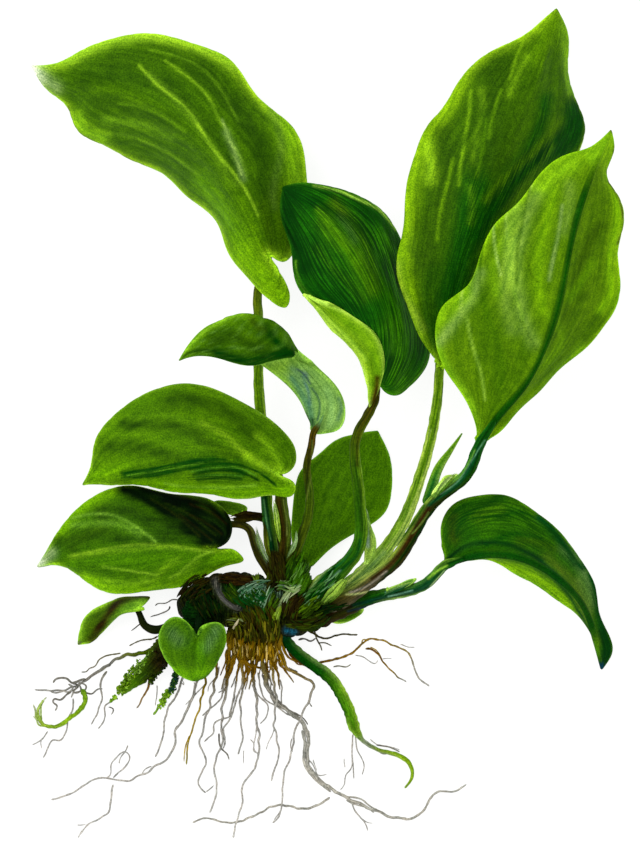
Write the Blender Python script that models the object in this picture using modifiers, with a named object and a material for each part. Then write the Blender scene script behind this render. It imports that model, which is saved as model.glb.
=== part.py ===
# A bare-rooted anubias lying on its side on a flat surface, as it was lifted out of the water.
# Metres, +Z up. The origin is under the middle of the plant, on the surface that it lies on.
# Points are in millimetres: x and y as seen from straight above, z the height over the surface.

import bmesh
import bpy
import numpy as np

for old in list(bpy.data.objects):
    bpy.data.objects.remove(old)

MM = 0.001
MIDDLE = (0.8, -0.15, 0)
BLADE_THICKNESS = 0.9
GAP = 0.3
BLADE_GRID = (14, 6)
SMALL_BLADE_GRID = (8, 6)
SHEATH_GRID = (5, 4)
LOBE_ROW = 0.2
STALK_STEP = 6.0
STALK_SIDES_RESOLUTION = 2
ROOT_SIDES_RESOLUTION = 1
ROOT_STEP = 5.5
STALK_REACH = 0.09
WELD = 1e-6

DARK_GREEN = (0.05, 0.16, 0.01, 1)
LEAF_GREEN = (0.10, 0.26, 0.01, 1)
PALE_GREEN = (0.24, 0.42, 0.05, 1)
STALK_GREEN = (0.07, 0.17, 0.02, 1)
RHIZOME_BROWN = (0.05, 0.04, 0.012, 1)
ROOT_BROWN = (0.30, 0.13, 0.015, 1)
ROOT_GREY = (0.36, 0.35, 0.31, 1)
ROOT_GREEN = (0.16, 0.34, 0.03, 1)

# A leaf is its midrib from the stalk's end to the tip, and the outline of each half.
# lobes is the share of the left and of the right outline that lies behind the stalk's end.
# arch lifts the middle of each half, and face is 1 where the underside looks up.
LEAVES = {
    "upper_left_leaf": {
        "midrib": [(-17, 50.5, 19), (-22, 62, 24), (-28, 73, 28), (-36, 84, 30), (-46, 93, 28),
                   (-58, 99.5, 22), (-72, 104, 15), (-87.8, 107, 9)],
        "left": [(-14, 45.5, 18), (-10.3, 38.5, 17), (-11.5, 34.7, 16), (-16, 36.8, 16), (-22, 41.6, 14.5),
                 (-28, 50, 11), (-33, 60, 8), (-42, 69, 4.5), (-54, 77.3, 2), (-65, 82.3, 0.8),
                 (-73.5, 87.8, 0.5), (-76.5, 94, 2.5), (-82, 98.5, 6)],
        "right": [(-15, 49.3, 18), (-11.5, 48.6, 16.5), (-7, 55, 14.5), (-4.9, 66, 13), (-5.2, 76, 13.5),
                  (-9, 87.5, 15.5), (-17, 95.5, 17), (-22.5, 101, 17.5), (-28, 108, 17.5), (-38, 113.5, 17),
                  (-50, 116, 15.5), (-60, 116.1, 13.5), (-70, 113.2, 11.5), (-79, 108, 10)],
        "lobes": (0.22, 0.07), "arch": 2.0, "face": -1,
    },
    "middle_leaf": {
        "midrib": [(15.5, 13, 30), (17.3, 24, 33), (15.5, 35, 34.5), (10.5, 46, 34), (4, 56, 32),
                   (-3, 64, 29.5), (-12.5, 70.5, 27)],
        "left": [(13.8, 11, 29), (12.6, 14, 29), (9.5, 20.5, 30), (4.5, 26, 31), (-1, 32.5, 31),
                 (-6, 37.5, 30.5), (-8.7, 43, 29.5), (-10.2, 51, 28), (-12.6, 60, 26.5), (-13.2, 66, 26.5)],
        "right": [(17.8, 9.6, 28), (20.5, 8.3, 26), (25, 10, 21), (29, 14.5, 15), (31, 20, 11),
                  (30, 30, 9), (26.5, 42, 9), (23, 54, 11.5), (18, 63.5, 16.5), (10, 67.8, 21.5),
                  (0, 71, 25), (-8, 71.8, 26.5)],
        "lobes": (0.03, 0.12), "arch": 1.5, "face": -1,
    },
    "folded_leaf": {
        "midrib": [(-3.3, -3, 28), (0.2, 6, 30), (-2.5, 16, 31.5), (-9, 25, 33), (-19, 31.6, 36),
                   (-24, 27.2, 40.5), (-32, 23.2, 41), (-43.5, 18.7, 39)],
        "left": [(-4.8, 1, 28), (-7, 6, 29), (-11, 11, 30), (-16, 15.2, 30.5), (-21, 19, 31),
                 (-26, 24, 32), (-29.3, 29, 33.5), (-29.5, 31.4, 36.5), (-33, 29, 39), (-38, 24.8, 39.5)],
        "right": [(1, -3.2, 28), (4.8, -1.5, 28), (6.2, 4, 29), (4, 10.5, 30), (-1, 15.6, 31),
                  (-6, 19.4, 33), (-8.6, 21.5, 36), (-8.8, 20, 38.8), (-14, 18.6, 40.5), (-20, 17.2, 41.5),
                  (-26, 17.6, 41.5), (-33, 19.5, 40.5), (-39, 19.8, 39.5)],
        "pins": [(0, 0, 0, 0), (0.12, 0.05, 0, 0.08), (0.55, 0.70, 0.60, 0.50), (1, 1, 1, 1)],
        "arch": -0.4, "face": 1,
    },
    "left_leaf": {
        "midrib": [(-15, -15, 25), (-22, -12.4, 29), (-30, -10.8, 31), (-38, -10.6, 31), (-46, -12, 28.5),
                   (-55, -14.2, 23), (-64, -16.4, 17.5), (-72.5, -18.5, 13)],
        "left": [(-12, -16.4, 24.5), (-8.8, -19.3, 23.5), (-9.8, -21.9, 22.5), (-15, -22.1, 22), (-22, -22.3, 22),
                 (-30, -22.2, 22), (-37, -21.5, 21), (-46, -20.1, 19), (-56, -18.9, 16.5), (-66, -18.2, 14.5)],
        "right": [(-11.5, -14.8, 24), (-8.4, -12, 22.5), (-8.6, -7.4, 21.5), (-12, -3, 21), (-19, 2.8, 20.5),
                  (-27, 8, 20), (-36, 11.1, 19.5), (-46, 11.3, 18.5), (-55, 8.5, 17.5), (-63, 2, 16.5),
                  (-68.8, -6, 15.5), (-70.5, -14, 14)],
        "lobes": (0.15, 0.13), "arch": 2.2, "face": -1,
    },
    "lower_left_leaf": {
        "midrib": [(-35.5, -37.2, 16), (-43, -37.1, 18), (-51, -37.8, 18), (-60, -39, 15), (-69, -40.2, 10),
                   (-77, -41.3, 5), (-86.3, -43, 0.5)],
        "left": [(-31, -38.2, 15), (-26.5, -38.8, 13.5), (-24.6, -40.8, 12.5), (-28, -42.9, 11.5), (-37, -46.6, 10),
                 (-47, -49.8, 8.5), (-57, -51.3, 7.5), (-66, -50.1, 6), (-74, -45.8, 4), (-80, -42.6, 2)],
        "right": [(-33, -37.3, 15), (-29.6, -35, 13.5), (-28.6, -31, 12.5), (-31, -26.5, 12), (-36, -22.6, 11.5),
                  (-46, -20.8, 11), (-57, -18.9, 10.5), (-67, -20.8, 9.5), (-75, -26, 7), (-80.5, -34, 3.5)],
        "lobes": (0.20, 0.15), "arch": 1.8, "face": -1,
    },
    "small_left_leaf": {
        "midrib": [(-57, -55.6, 7.6), (-61, -56.3, 8), (-66, -58.8, 7), (-70, -62, 4.4), (-74, -66.5, 0.5)],
        "left": [(-54, -55.6, 7.2), (-58.5, -56.8, 6.8), (-63, -59.5, 5.4), (-67, -62.9, 3), (-71, -65.7, 1)],
        "right": [(-53.8, -54.3, 7), (-52.2, -51.9, 5.4), (-56, -51.7, 4.2), (-61, -52.3, 3), (-66, -54.5, 2.6),
                  (-70.5, -56.8, 2), (-73.3, -60.8, 1.2)],
        "lobes": (0.12, 0.14), "arch": 0.8, "face": -1,
    },
    "heart_leaf": {
        "midrib": [(-38.2, -63.8, 16.5), (-38.6, -68, 17), (-38.8, -72.5, 14.5), (-39, -77.4, 10)],
        "left": [(-36.6, -61.5, 17.5), (-34.2, -59.7, 18.3), (-31.2, -59.8, 18), (-29.3, -63, 17), (-29.6, -67.5, 15.5),
                 (-32, -72.2, 13.5), (-35.3, -75.8, 11.5)],
        "right": [(-39.6, -61, 17.5), (-42, -58.7, 18.3), (-45.2, -58, 18), (-48.2, -60, 17), (-49.7, -64, 15.5),
                  (-48.2, -69, 13.5), (-45, -73.6, 11.5), (-42, -76.3, 10.5)],
        "lobes": (0.28, 0.28), "arch": 1.0, "face": -1,
    },
    "back_leaf": {
        "midrib": [(-5.5, -43.5, 5.2), (-1, -36, 5.4), (4, -26, 5.2), (9, -15, 4), (13, -7.5, 2.2), (16, -2.3, 1)],
        "left": [(-8.5, -39, 4), (-9.8, -31, 2), (-9.4, -22, 0.5), (-7, -14.4, 0.4), (-2, -9.7, 0.4),
                 (3.5, -4.8, 0.4), (9, -3.2, 0.6)],
        "right": [(-1.5, -40, 4), (5, -35.8, 2.2), (12.5, -31.2, 0.5), (18.4, -26.5, 0.4), (20.6, -18.5, 0.4),
                  (19.6, -10.5, 0.4)],
        "lobes": (0.04, 0.04), "arch": 0.5, "face": -1,
    },
    "tall_right_leaf": {
        "midrib": [(34.5, 17, 18), (36.5, 30, 21.5), (40.5, 45, 25), (46, 62, 27.5), (53, 80, 26), (60.5, 98, 19),
                   (66, 112, 12), (69.5, 124.3, 7)],
        "left": [(32, 21, 18.5), (27.5, 28.5, 20.5), (23.6, 37, 21), (21.8, 47, 22), (23.2, 58, 22),
                 (24.3, 69, 21.5), (26.5, 80, 20.5), (31.5, 89.5, 19), (34.5, 93, 18.5), (39, 101, 17.5),
                 (46, 108.5, 15.5), (54, 113.7, 13), (61, 117, 10.5), (66, 121.3, 8.5)],
        "right": [(41, 21, 16), (50, 30, 12.8), (58, 42, 9.5), (65, 54, 7), (71, 66, 4), (75.5, 78, 1.5),
                  (77.9, 88, 0.5), (76.3, 94.5, 0.4), (74.6, 101, 0.5), (73, 109, 1.5), (73, 117, 4)],
        "lobes": (0.03, 0.03), "arch": 2.2, "face": -1,
    },
    "front_right_leaf": {
        "midrib": [(46, -7, 30), (52, 2.5, 34), (60, 12, 38.5), (66, 24, 42.5), (70, 37, 45), (73, 52, 45),
                   (76.5, 66, 43), (81, 77.5, 39), (85.5, 87.5, 34)],
        "left": [(45, -1.5, 30), (42.5, 6, 31), (37, 14, 32), (33.2, 24, 32.5), (35.2, 35, 33),
                 (43, 41.4, 34.5), (46, 49.5, 35.5), (51.5, 60, 36), (57, 65, 36.5), (63, 73, 36.5),
                 (73, 80.4, 36), (79, 82.4, 35.5)],
        "right": [(52, -3, 29.5), (58, 3.5, 28.5), (66, 11.5, 27), (74, 18.8, 26), (81, 25.7, 25.5),
                  (86.8, 33.5, 25.5), (88, 43, 26.5), (88.2, 51, 27.5), (89.2, 58, 28.5), (87, 69, 30),
                  (84.6, 74.5, 31.5), (86.3, 81.5, 33)],
        "lobes": (0.03, 0.03), "arch": -1.0, "face": 1,
    },
    "drooping_leaf": {
        "midrib": [(36, -42.5, 22), (42, -40.2, 25.5), (49, -39, 28), (57, -39.8, 28.5), (65, -43.2, 26),
                   (72.5, -48.8, 20.5), (78.5, -57, 12), (83.2, -74, 0.5)],
        "left": [(34.9, -37, 21.5), (34.8, -31, 21), (38.5, -24.4, 20), (46, -21.5, 19.5), (54, -21.5, 19),
                 (62, -26, 18.5), (70.5, -32.3, 17.5), (77, -41.5, 15), (80.6, -48, 12.5), (83, -58.5, 7.5),
                 (86.2, -69, 1.5)],
        "right": [(42, -41.2, 24.3), (50, -41.6, 23.6), (58, -45.4, 21.5), (66, -50.6, 18), (74, -56.2, 12.5),
                  (79.5, -62.8, 6.5), (82, -69, 2.5)],
        "lobes": (0.04, 0.02), "arch": -0.6, "face": 1,
    },
    "young_leaf": {
        "midrib": [(-24.2, -27.2, 9.5), (-27, -25.8, 8.8), (-30, -24.7, 7.5), (-34, -24.3, 5.5)],
        "left": [(-26, -27.4, 8.6), (-30, -27, 7), (-33, -25.8, 5.8)],
        "right": [(-23, -25.6, 9), (-26.5, -23.4, 8), (-30.5, -23, 7), (-33, -23.4, 5.8)],
        "lobes": (0.08, 0.12), "arch": 0.3, "face": -1,
    },
}

SMALL_LEAVES = ("small_left_leaf", "heart_leaf", "back_leaf", "young_leaf")
LEAF_FINISH = {"middle_leaf": "dark", "back_leaf": "dark", "front_right_leaf": "pale", "folded_leaf": "pale"}

# Thin sheaths that once wrapped young leaves, and the green bud under the crown, drawn as small blades.
SHEATHS = {
    "upper_sheath": {
        "midrib": [(32.5, -22, 21), (35, -18.5, 21.5), (37.5, -16.6, 21.8), (39.8, -15.2, 21.8)],
        "left": [(33, -18.5, 20.5), (34.6, -16, 20.5), (37, -15.4, 21)],
        "right": [(35, -20.6, 21.4), (37.6, -18.8, 22), (39.4, -17, 22)],
        "lobes": (0.1, 0.1), "arch": 0.3, "face": -1,
    },
    "lower_sheath": {
        "midrib": [(15.5, -50.2, 16.4), (20, -48.5, 17.6), (24, -46.8, 19), (27.5, -45, 20)],
        "left": [(19, -47.4, 16.4), (22, -46, 17.2), (25, -44.9, 18.6)],
        "right": [(20, -49.9, 18.4), (24, -48.4, 20.2), (26.8, -46.6, 20.8)],
        "lobes": (0.1, 0.1), "arch": 0.3, "face": -1,
    },
    "inner_sheath": {
        "midrib": [(10, -43.5, 15.5), (12.3, -38, 17), (12.8, -32, 18), (11.8, -24, 19)],
        "left": [(9.6, -39.5, 15.5), (10.6, -33.5, 17), (11, -28, 18)],
        "right": [(13.5, -40.5, 15.5), (15.2, -35.5, 16.5), (13.8, -29, 18)],
        "lobes": (0.1, 0.1), "arch": 0.6, "face": -1,
    },
    "crown_bud": {
        "midrib": [(1, -58.4, 2.2), (5, -58.4, 3), (8.5, -57.6, 3.5), (11.8, -55.6, 3.8)],
        "left": [(3.5, -60, 1.6), (6.5, -60, 2), (9.8, -58.4, 2.8)],
        "right": [(3.5, -56.8, 2.4), (6.5, -56.2, 3.2), (9.5, -55.6, 3.6)],
        "lobes": (0.1, 0.1), "arch": 0.8, "face": -1,
    },
}

# A stalk is its path from inside the rhizome to just short of its leaf, with its radius at both ends.
STALKS = {
    "upper_left_stalk": ("upper_left_leaf", [(-15, -51, 5), (-15.2, -42, 6.5), (-16.8, -30, 7.5), (-17.8, -15, 9.5),
                                             (-18.8, 0, 11), (-19.8, 15, 12), (-19.6, 30, 12), (-19.8, 40, 12.3)],
                         1.9, 1.3),
    "middle_stalk": ("middle_leaf", [(-6, -54, 9), (-1, -48.5, 15), (5, -42.5, 20), (9.5, -36, 22.5), (10.4, -27, 24),
                                     (9.6, -15, 26), (9.6, -4, 26.5), (13, 2.5, 26.2), (15.2, 8, 25.8)], 2.4, 1.3),
    "folded_leaf_stalk": ("folded_leaf", [(-8.6, -52, 11.5), (-7.8, -42, 17), (-5, -32, 21), (-4, -22, 24),
                                          (-4.8, -12, 27), (-3.8, -6, 29)], 1.7, 1.0),
    "left_stalk": ("left_leaf", [(-13, -52, 10.5), (-11.6, -41, 14), (-11.6, -32, 17), (-12.4, -24, 19.5)], 1.7, 1.1),
    "lower_left_stalk": ("lower_left_leaf", [(-17, -51, 9), (-19.2, -42, 10), (-21.6, -35, 9.5), (-23.6, -31.2, 9),
                                             (-28, -30.2, 8.5), (-32.5, -32.8, 10)], 1.6, 1.0),
    "small_left_stalk": ("small_left_leaf", [(-46, -61, 4), (-50.5, -62, 4.2), (-54, -60.6, 3.8)], 1.5, 0.8),
    "heart_leaf_stalk": ("heart_leaf", [(-37, -56.5, 9), (-37.6, -59.5, 13.6)], 1.3, 0.9),
    "back_stalk": ("back_leaf", [(-8.6, -52, 4), (-7, -47.5, 3.6)], 1.3, 0.8),
    "tall_right_stalk": ("tall_right_leaf", [(-2, -54, 5.5), (5, -49.8, 6.4), (11, -44, 8), (17, -37.2, 9),
                                             (22.5, -29, 10), (27.2, -19, 11), (30.8, -8, 12), (33.2, 3, 13),
                                             (34.2, 12, 13.8)], 2.2, 1.4),
    "front_right_stalk": ("front_right_leaf", [(0, -54.5, 10.5), (7.5, -51, 14), (14, -46.8, 16.5), (20, -41.8, 18.5),
                                               (25.5, -35.2, 21), (30.5, -28.6, 23), (35, -23.4, 25), (40, -19, 27),
                                               (43, -14.5, 29.5)], 2.4, 1.7),
    "drooping_stalk": ("drooping_leaf", [(-3, -57.6, 5.5), (2.5, -56.6, 7), (9, -54.1, 9.5), (16, -51.8, 13),
                                         (23, -50.6, 16.8), (29, -48.8, 20.4), (33, -45.6, 23)], 2.3, 1.5),
    "young_leaf_stalk": ("young_leaf", [(-11, -50, 3), (-12.6, -42, 2.6), (-14.6, -34, 2.8), (-18, -29.4, 4.2)],
                         1.1, 0.8),
}

# The rolled young leaf is a spear that stands beside the right-hand stalks: path and radii.
SPEAR_PATH = [(26, -30.4, 14), (29, -23.5, 15.5), (32.5, -16, 17), (36.5, -9, 18.5), (41.5, -2.6, 20)]
SPEAR_RADII = [0.7, 1.7, 1.6, 0.9, 0.2]

# The rhizome's axis, and its radius at each point of it. It sinks by RHIZOME_FLAT, which gives its flat belly.
RHIZOME_AXIS = [(-43.5, -57.6), (-41.5, -56.2), (-37.5, -54.2), (-31, -53), (-24.5, -53.7), (-18, -55.2),
                (-11, -55.8), (-4.5, -55.6), (1.5, -54.8), (4, -54.4)]
RHIZOME_RADII = [2.2, 4.2, 6.2, 7.9, 8.6, 8.7, 8.0, 6.8, 4.8, 2.4]
RHIZOME_FLAT = 1.6
RHIZOME_STATIONS = 30
RHIZOME_SIDES_RESOLUTION = 4
RING_SPACING = 3.6
RING_HEIGHT = 0.35

# The side shoot leaves the rhizome's left end: path and radii.
SIDE_SHOOT_PATH = [(-42, -60, 5), (-46.5, -64, 4.6), (-50.5, -68.6, 4.2), (-53.5, -73, 3), (-57.5, -77, 2), (-61, -80.6, 1)]
SIDE_SHOOT_RADII = [3.4, 4.0, 3.9, 2.8, 1.9, 1.0]

# A root is its path from inside what it grows from, the radius at both ends, and its colour.
# A point of height 0 lies on the surface.
ROOTS = {
    "left_long_root": ([(-37, -57, 6), (-37.4, -69, 4), (-38.8, -80, 1.5), (-42, -87.5, 0), (-45, -94, 0), (-45.3, -98, 0),
                        (-49, -102, 0), (-54, -105, 0), (-58.5, -107, 0), (-63, -107, 0), (-68, -106.6, 0),
                        (-74, -110, 0), (-82, -113, 0)], 0.8, 0.35, "grey"),
    "left_long_root_fork": ([(-63.4, -108.4, 0), (-64.2, -113, 0), (-65, -117, 0), (-70, -120, 0), (-74, -124.5, 0)],
                            0.45, 0.3, "grey"),
    "left_thin_root": ([(-41.8, -61, 4), (-42.2, -70, 3), (-43.6, -80, 0.5), (-47.8, -88, 0), (-48.4, -93, 0),
                        (-50.8, -100.2, 0)], 0.7, 0.35, "grey"),
    "golden_root": ([(-34.5, -57, 8), (-35.4, -69, 6), (-36, -79, 2.5), (-37.6, -85, 0), (-39.4, -91, 0),
                     (-41, -97, 0), (-41.4, -102.5, 0)], 0.9, 0.35, "brown"),
    "kinked_root": ([(-31, -57, 8), (-32, -67, 6), (-32.6, -76, 2.5), (-34.2, -84, 0), (-36.6, -92, 0),
                     (-37, -98, 0), (-35.6, -102.5, 0), (-38, -107.5, 0), (-35.6, -111, 0)], 0.85, 0.35, "brown"),
    "curved_root": ([(-28, -57, 5), (-28.6, -68, 3), (-29.2, -78, 1), (-30.8, -90, 0), (-31, -97, 0), (-33, -102.5, 0),
                     (-32.4, -110, 0), (-34.5, -117, 0)], 0.9, 0.35, "brown"),
    "short_root": ([(-25.5, -58, 10), (-25, -69, 8.5), (-24.6, -78, 4), (-25.2, -88, 0), (-24.6, -94, 0),
                    (-26, -99.5, 0)], 0.85, 0.35, "brown"),
    "straight_root": ([(-22.5, -58, 5), (-22, -70, 2.4), (-20.6, -82, 0), (-20, -92, 0), (-19.6, -98, 0),
                       (-21, -103.5, 0), (-24.2, -108, 0), (-24.8, -114, 1), (-26.2, -119, 2.1), (-27.4, -124.5, 0.4)],
                      0.9, 0.35, "brown"),
    "thick_root": ([(-19.5, -58, 8), (-19, -68, 7.4), (-17.8, -76, 4), (-15.4, -82.4, 1), (-11, -86.4, 0),
                    (-6.6, -89.8, 0), (-4.9, -95, 0), (-5.4, -101, 0), (-3, -106, 0), (2, -109.6, 0), (8, -113, 0),
                    (15, -116.2, 0), (22, -118.7, 0), (28, -117.6, 0), (31, -114, 0), (34, -110.6, 0),
                    (38, -110.6, 0), (42.6, -108.4, 0)], 1.1, 0.35, "grey"),
    "thick_root_fork": ([(1.6, -112.2, 0), (-3, -115, 0), (-8, -115.4, 0), (-13, -114.6, 0), (-20, -117.2, 0),
                         (-30, -119.8, 0), (-36, -118.6, 0), (-39.6, -119.9, 0)], 0.5, 0.35, "grey"),
    "crossing_root": ([(-17, -58, 10), (-16.2, -70, 8.4), (-14.8, -80, 5.2), (-14.6, -86, 2.5), (-15, -92, 0),
                       (-13.6, -98, 0), (-15, -104, 0), (-16, -107.5, 0)], 0.85, 0.35, "brown"),
    "looping_root": ([(-14, -58, 11), (-13.4, -66.5, 11), (-11, -73.4, 9), (-6.6, -76, 6.6), (-3.2, -79, 4.8),
                      (-5, -83.4, 4), (-7, -88.6, 3.6), (-9.2, -93.4, 1.2), (-10, -99, 0), (-12, -105, 0),
                      (-12.6, -110, 0.8), (-12.7, -114.6, 2.1), (-13.8, -118, 1), (-15.6, -120, 0)],
                     0.85, 0.35, "brown"),
    "green_root": ([(-13, -61, 7), (-10.6, -65.4, 6.6), (-7, -69.4, 5.8), (-2, -73.4, 4.8), (3, -78.2, 4), (6.4, -83.4, 3),
                    (8.4, -89, 1.8), (10.6, -93.6, 1), (13.6, -96.8, 0), (18, -98.6, 0), (22.4, -99.8, 0),
                    (25.6, -102.4, 0), (26.3, -106, 0), (24, -109.6, 0)], 2.4, 0.5, "green"),
    "right_root": ([(-11, -59, 4), (-11.4, -66, 2.6), (-9, -70.8, 1), (-4, -72.4, 0), (1, -71.3, 0), (6, -70.2, 0),
                    (9.6, -68.2, 0), (12, -65.8, 0), (16.4, -65, 0), (20, -66.2, 0), (24, -68, 0), (26.6, -72, 0),
                    (28, -76, 0), (31.5, -79, 0)], 0.8, 0.35, "brown"),
    "right_root_fork": ([(12.2, -67.8, 0), (14.8, -68.2, 0), (17.4, -71.4, 0), (20.4, -74.8, 0), (24.6, -77.8, 0)],
                        0.45, 0.3, "brown"),
    "upper_right_root": ([(-6, -58, 3), (-3.6, -63.2, 0.6), (0, -64.4, 0), (5, -63.6, 0), (10, -63.5, 0)],
                         0.6, 0.35, "grey"),
    "far_left_root": ([(-50, -67.4, 3.4), (-55, -69, 2), (-60, -69.8, 0.8), (-65, -72.6, 0), (-70, -76, 0),
                       (-74, -78.6, 0), (-80, -80.2, 0), (-87, -80, 0)], 1.0, 0.35, "grey"),
    "far_left_root_fork": ([(-65.2, -74.4, 0), (-67.2, -78, 0), (-67, -83, 0), (-70, -90.5, 0)], 0.5, 0.3, "grey"),
    "curled_root": ([(-72.6, -79.8, 0), (-71.9, -84, 0), (-75, -87.4, 0), (-80, -90.8, 0), (-84, -90.6, 0),
                     (-86, -87, 0), (-84.2, -83, 0)], 0.8, 0.4, "green"),
    "mossy_root": ([(-46, -65, 4), (-46.2, -72, 2.6), (-46.8, -78, 1.4), (-48.2, -83, 0.6), (-51.4, -87.6, 0)],
                   1.5, 0.5, "green"),
    "stub_root": ([(-52.6, -71.6, 3), (-52.4, -77, 1.2), (-54, -82, 0), (-56.4, -85.6, 0)], 0.9, 0.35, "brown"),
}
ROOTS_FROM_SIDE_SHOOT = ("far_left_root", "stub_root", "mossy_root", "left_thin_root")
LOOSE_ENDS = ("left_long_root_fork", "thick_root_fork", "right_root_fork", "far_left_root_fork", "curled_root")


def world(points):
    """Millimetres on the drawn plan, as metres around the middle of the plant."""
    return (np.asarray(points) - MIDDLE) * MM


def smooth_curve(points, samples=240):
    """Natural cubic spline through the points, sampled evenly by its parameter."""
    points = np.array(points, float)
    knots = np.concatenate([[0], np.cumsum(np.linalg.norm(np.diff(points, axis=0), axis=1))])
    last = len(points) - 1
    step = np.diff(knots)[:, None]
    slope = np.diff(points, axis=0) / step
    system = np.eye(last + 1)
    bend = np.zeros_like(points)
    for i in range(1, last):
        system[i, i - 1 : i + 2] = step[i - 1, 0], 2 * (step[i - 1, 0] + step[i, 0]), step[i, 0]
        bend[i] = 6 * (slope[i] - slope[i - 1])
    curvature = np.linalg.solve(system, bend)
    t = np.linspace(0, knots[-1], samples)
    i = np.clip(np.searchsorted(knots, t) - 1, 0, last - 1)
    h = step[i]
    a = (knots[i + 1] - t)[:, None] / h
    b = 1 - a
    curved = (a**3 - a) * curvature[i] + (b**3 - b) * curvature[i + 1]
    return a * points[i] + b * points[i + 1] + curved * h**2 / 6


def along(curve, shares):
    """Points at these shares of a sampled curve's length."""
    lengths = np.concatenate([[0], np.cumsum(np.linalg.norm(np.diff(curve, axis=0), axis=1))])
    wanted = np.asarray(shares) * lengths[-1]
    return np.stack([np.interp(wanted, lengths, curve[:, k]) for k in range(3)], axis=1)


def blade_surface(leaf, row, side):
    """Middle surface of a blade: row runs from stalk to tip, side from -1 on the left edge to 1 on the right."""
    base, tip = leaf["midrib"][0], leaf["midrib"][-1]
    if "pins" in leaf:
        pins = np.array(leaf["pins"])
    else:
        left_lobe, right_lobe = leaf["lobes"]
        pins = np.array([(0, 0, 0, 0), (LOBE_ROW, left_lobe, 0, right_lobe), (1, 1, 1, 1)])
    outlines = [smooth_curve([base, *leaf[half], tip]) for half in ("left", "right")]
    left = along(outlines[0], np.interp(row, pins[:, 0], pins[:, 1]))
    middle = along(smooth_curve(leaf["midrib"]), np.interp(row, pins[:, 0], pins[:, 2]))
    right = along(outlines[1], np.interp(row, pins[:, 0], pins[:, 3]))
    edge = np.where(side[:, None] < 0, left, right)
    out = np.abs(side)
    points = middle + out[:, None] * (edge - middle)
    points[:, 2] += leaf["arch"] * 4 * out * (1 - out) * np.sin(np.pi * row)
    points[:, 2] = np.maximum(points[:, 2], BLADE_THICKNESS / 2)
    return points


def material(name, colour, roughness):
    made = bpy.data.materials.new(name)
    made.use_nodes = True
    shader = made.node_tree.nodes["Principled BSDF"]
    shader.inputs["Base Color"].default_value = colour
    shader.inputs["Roughness"].default_value = roughness
    shader.inputs["Metallic"].default_value = 0
    return made


def collection(name):
    made = bpy.data.collections.new(name)
    bpy.context.scene.collection.children.link(made)
    return made


def mesh_object(name, mesh, finish, group):
    obj = bpy.data.objects.new(name, mesh)
    mesh.materials.append(finish)
    group.objects.link(obj)
    return obj


def blade(name, leaf, finish, grid):
    """A flat grid bent into the blade's shape, then thickened."""
    rows, columns = grid
    shape = bmesh.new()
    bmesh.ops.create_grid(shape, x_segments=columns, y_segments=rows, size=1)
    flat = np.array([v.co for v in shape.verts])
    placed = world(blade_surface(leaf, (flat[:, 1] + 1) / 2, flat[:, 0]))
    for vertex, point in zip(shape.verts, placed):
        vertex.co = point
    bmesh.ops.remove_doubles(shape, verts=shape.verts, dist=WELD)
    mesh = bpy.data.meshes.new(name)
    shape.to_mesh(mesh)
    shape.free()
    obj = mesh_object(name, mesh, finish, plant)
    solid = obj.modifiers.new("thickness", "SOLIDIFY")
    solid.thickness = BLADE_THICKNESS * MM
    solid.offset = 0
    return obj


def tube(name, points, radii, finish, sides_resolution, group):
    """A round tube through the points, in millimetres, that stays above the surface."""
    curve = bpy.data.curves.new(name, "CURVE")
    curve.dimensions = "3D"
    curve.bevel_depth = MM
    curve.bevel_resolution = sides_resolution
    curve.use_fill_caps = True
    spline = curve.splines.new("POLY")
    spline.points.add(len(points) - 1)
    for place, (x, y, z), radius in zip(spline.points, points, radii):
        place.co = (*world((x, y, max(z, radius))), 1)
        place.radius = radius
    obj = bpy.data.objects.new(name, curve)
    curve.materials.append(finish)
    group.objects.link(obj)
    return obj


def as_mesh(obj, group):
    """The same object as a mesh with its caps welded."""
    graph = bpy.context.evaluated_depsgraph_get()
    mesh = bpy.data.meshes.new_from_object(obj.evaluated_get(graph))
    name, place = obj.name, obj.matrix_world.copy()
    bpy.data.objects.remove(obj)
    shape = bmesh.new()
    shape.from_mesh(mesh)
    bmesh.ops.remove_doubles(shape, verts=shape.verts, dist=WELD)
    bmesh.ops.recalc_face_normals(shape, faces=shape.faces)
    shape.to_mesh(mesh)
    shape.free()
    made = bpy.data.objects.new(name, mesh)
    made.matrix_world = place
    group.objects.link(made)
    return made


def cut(obj, cutter):
    difference = obj.modifiers.new("cut", "BOOLEAN")
    difference.operation = "DIFFERENCE"
    difference.object = cutter


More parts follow.
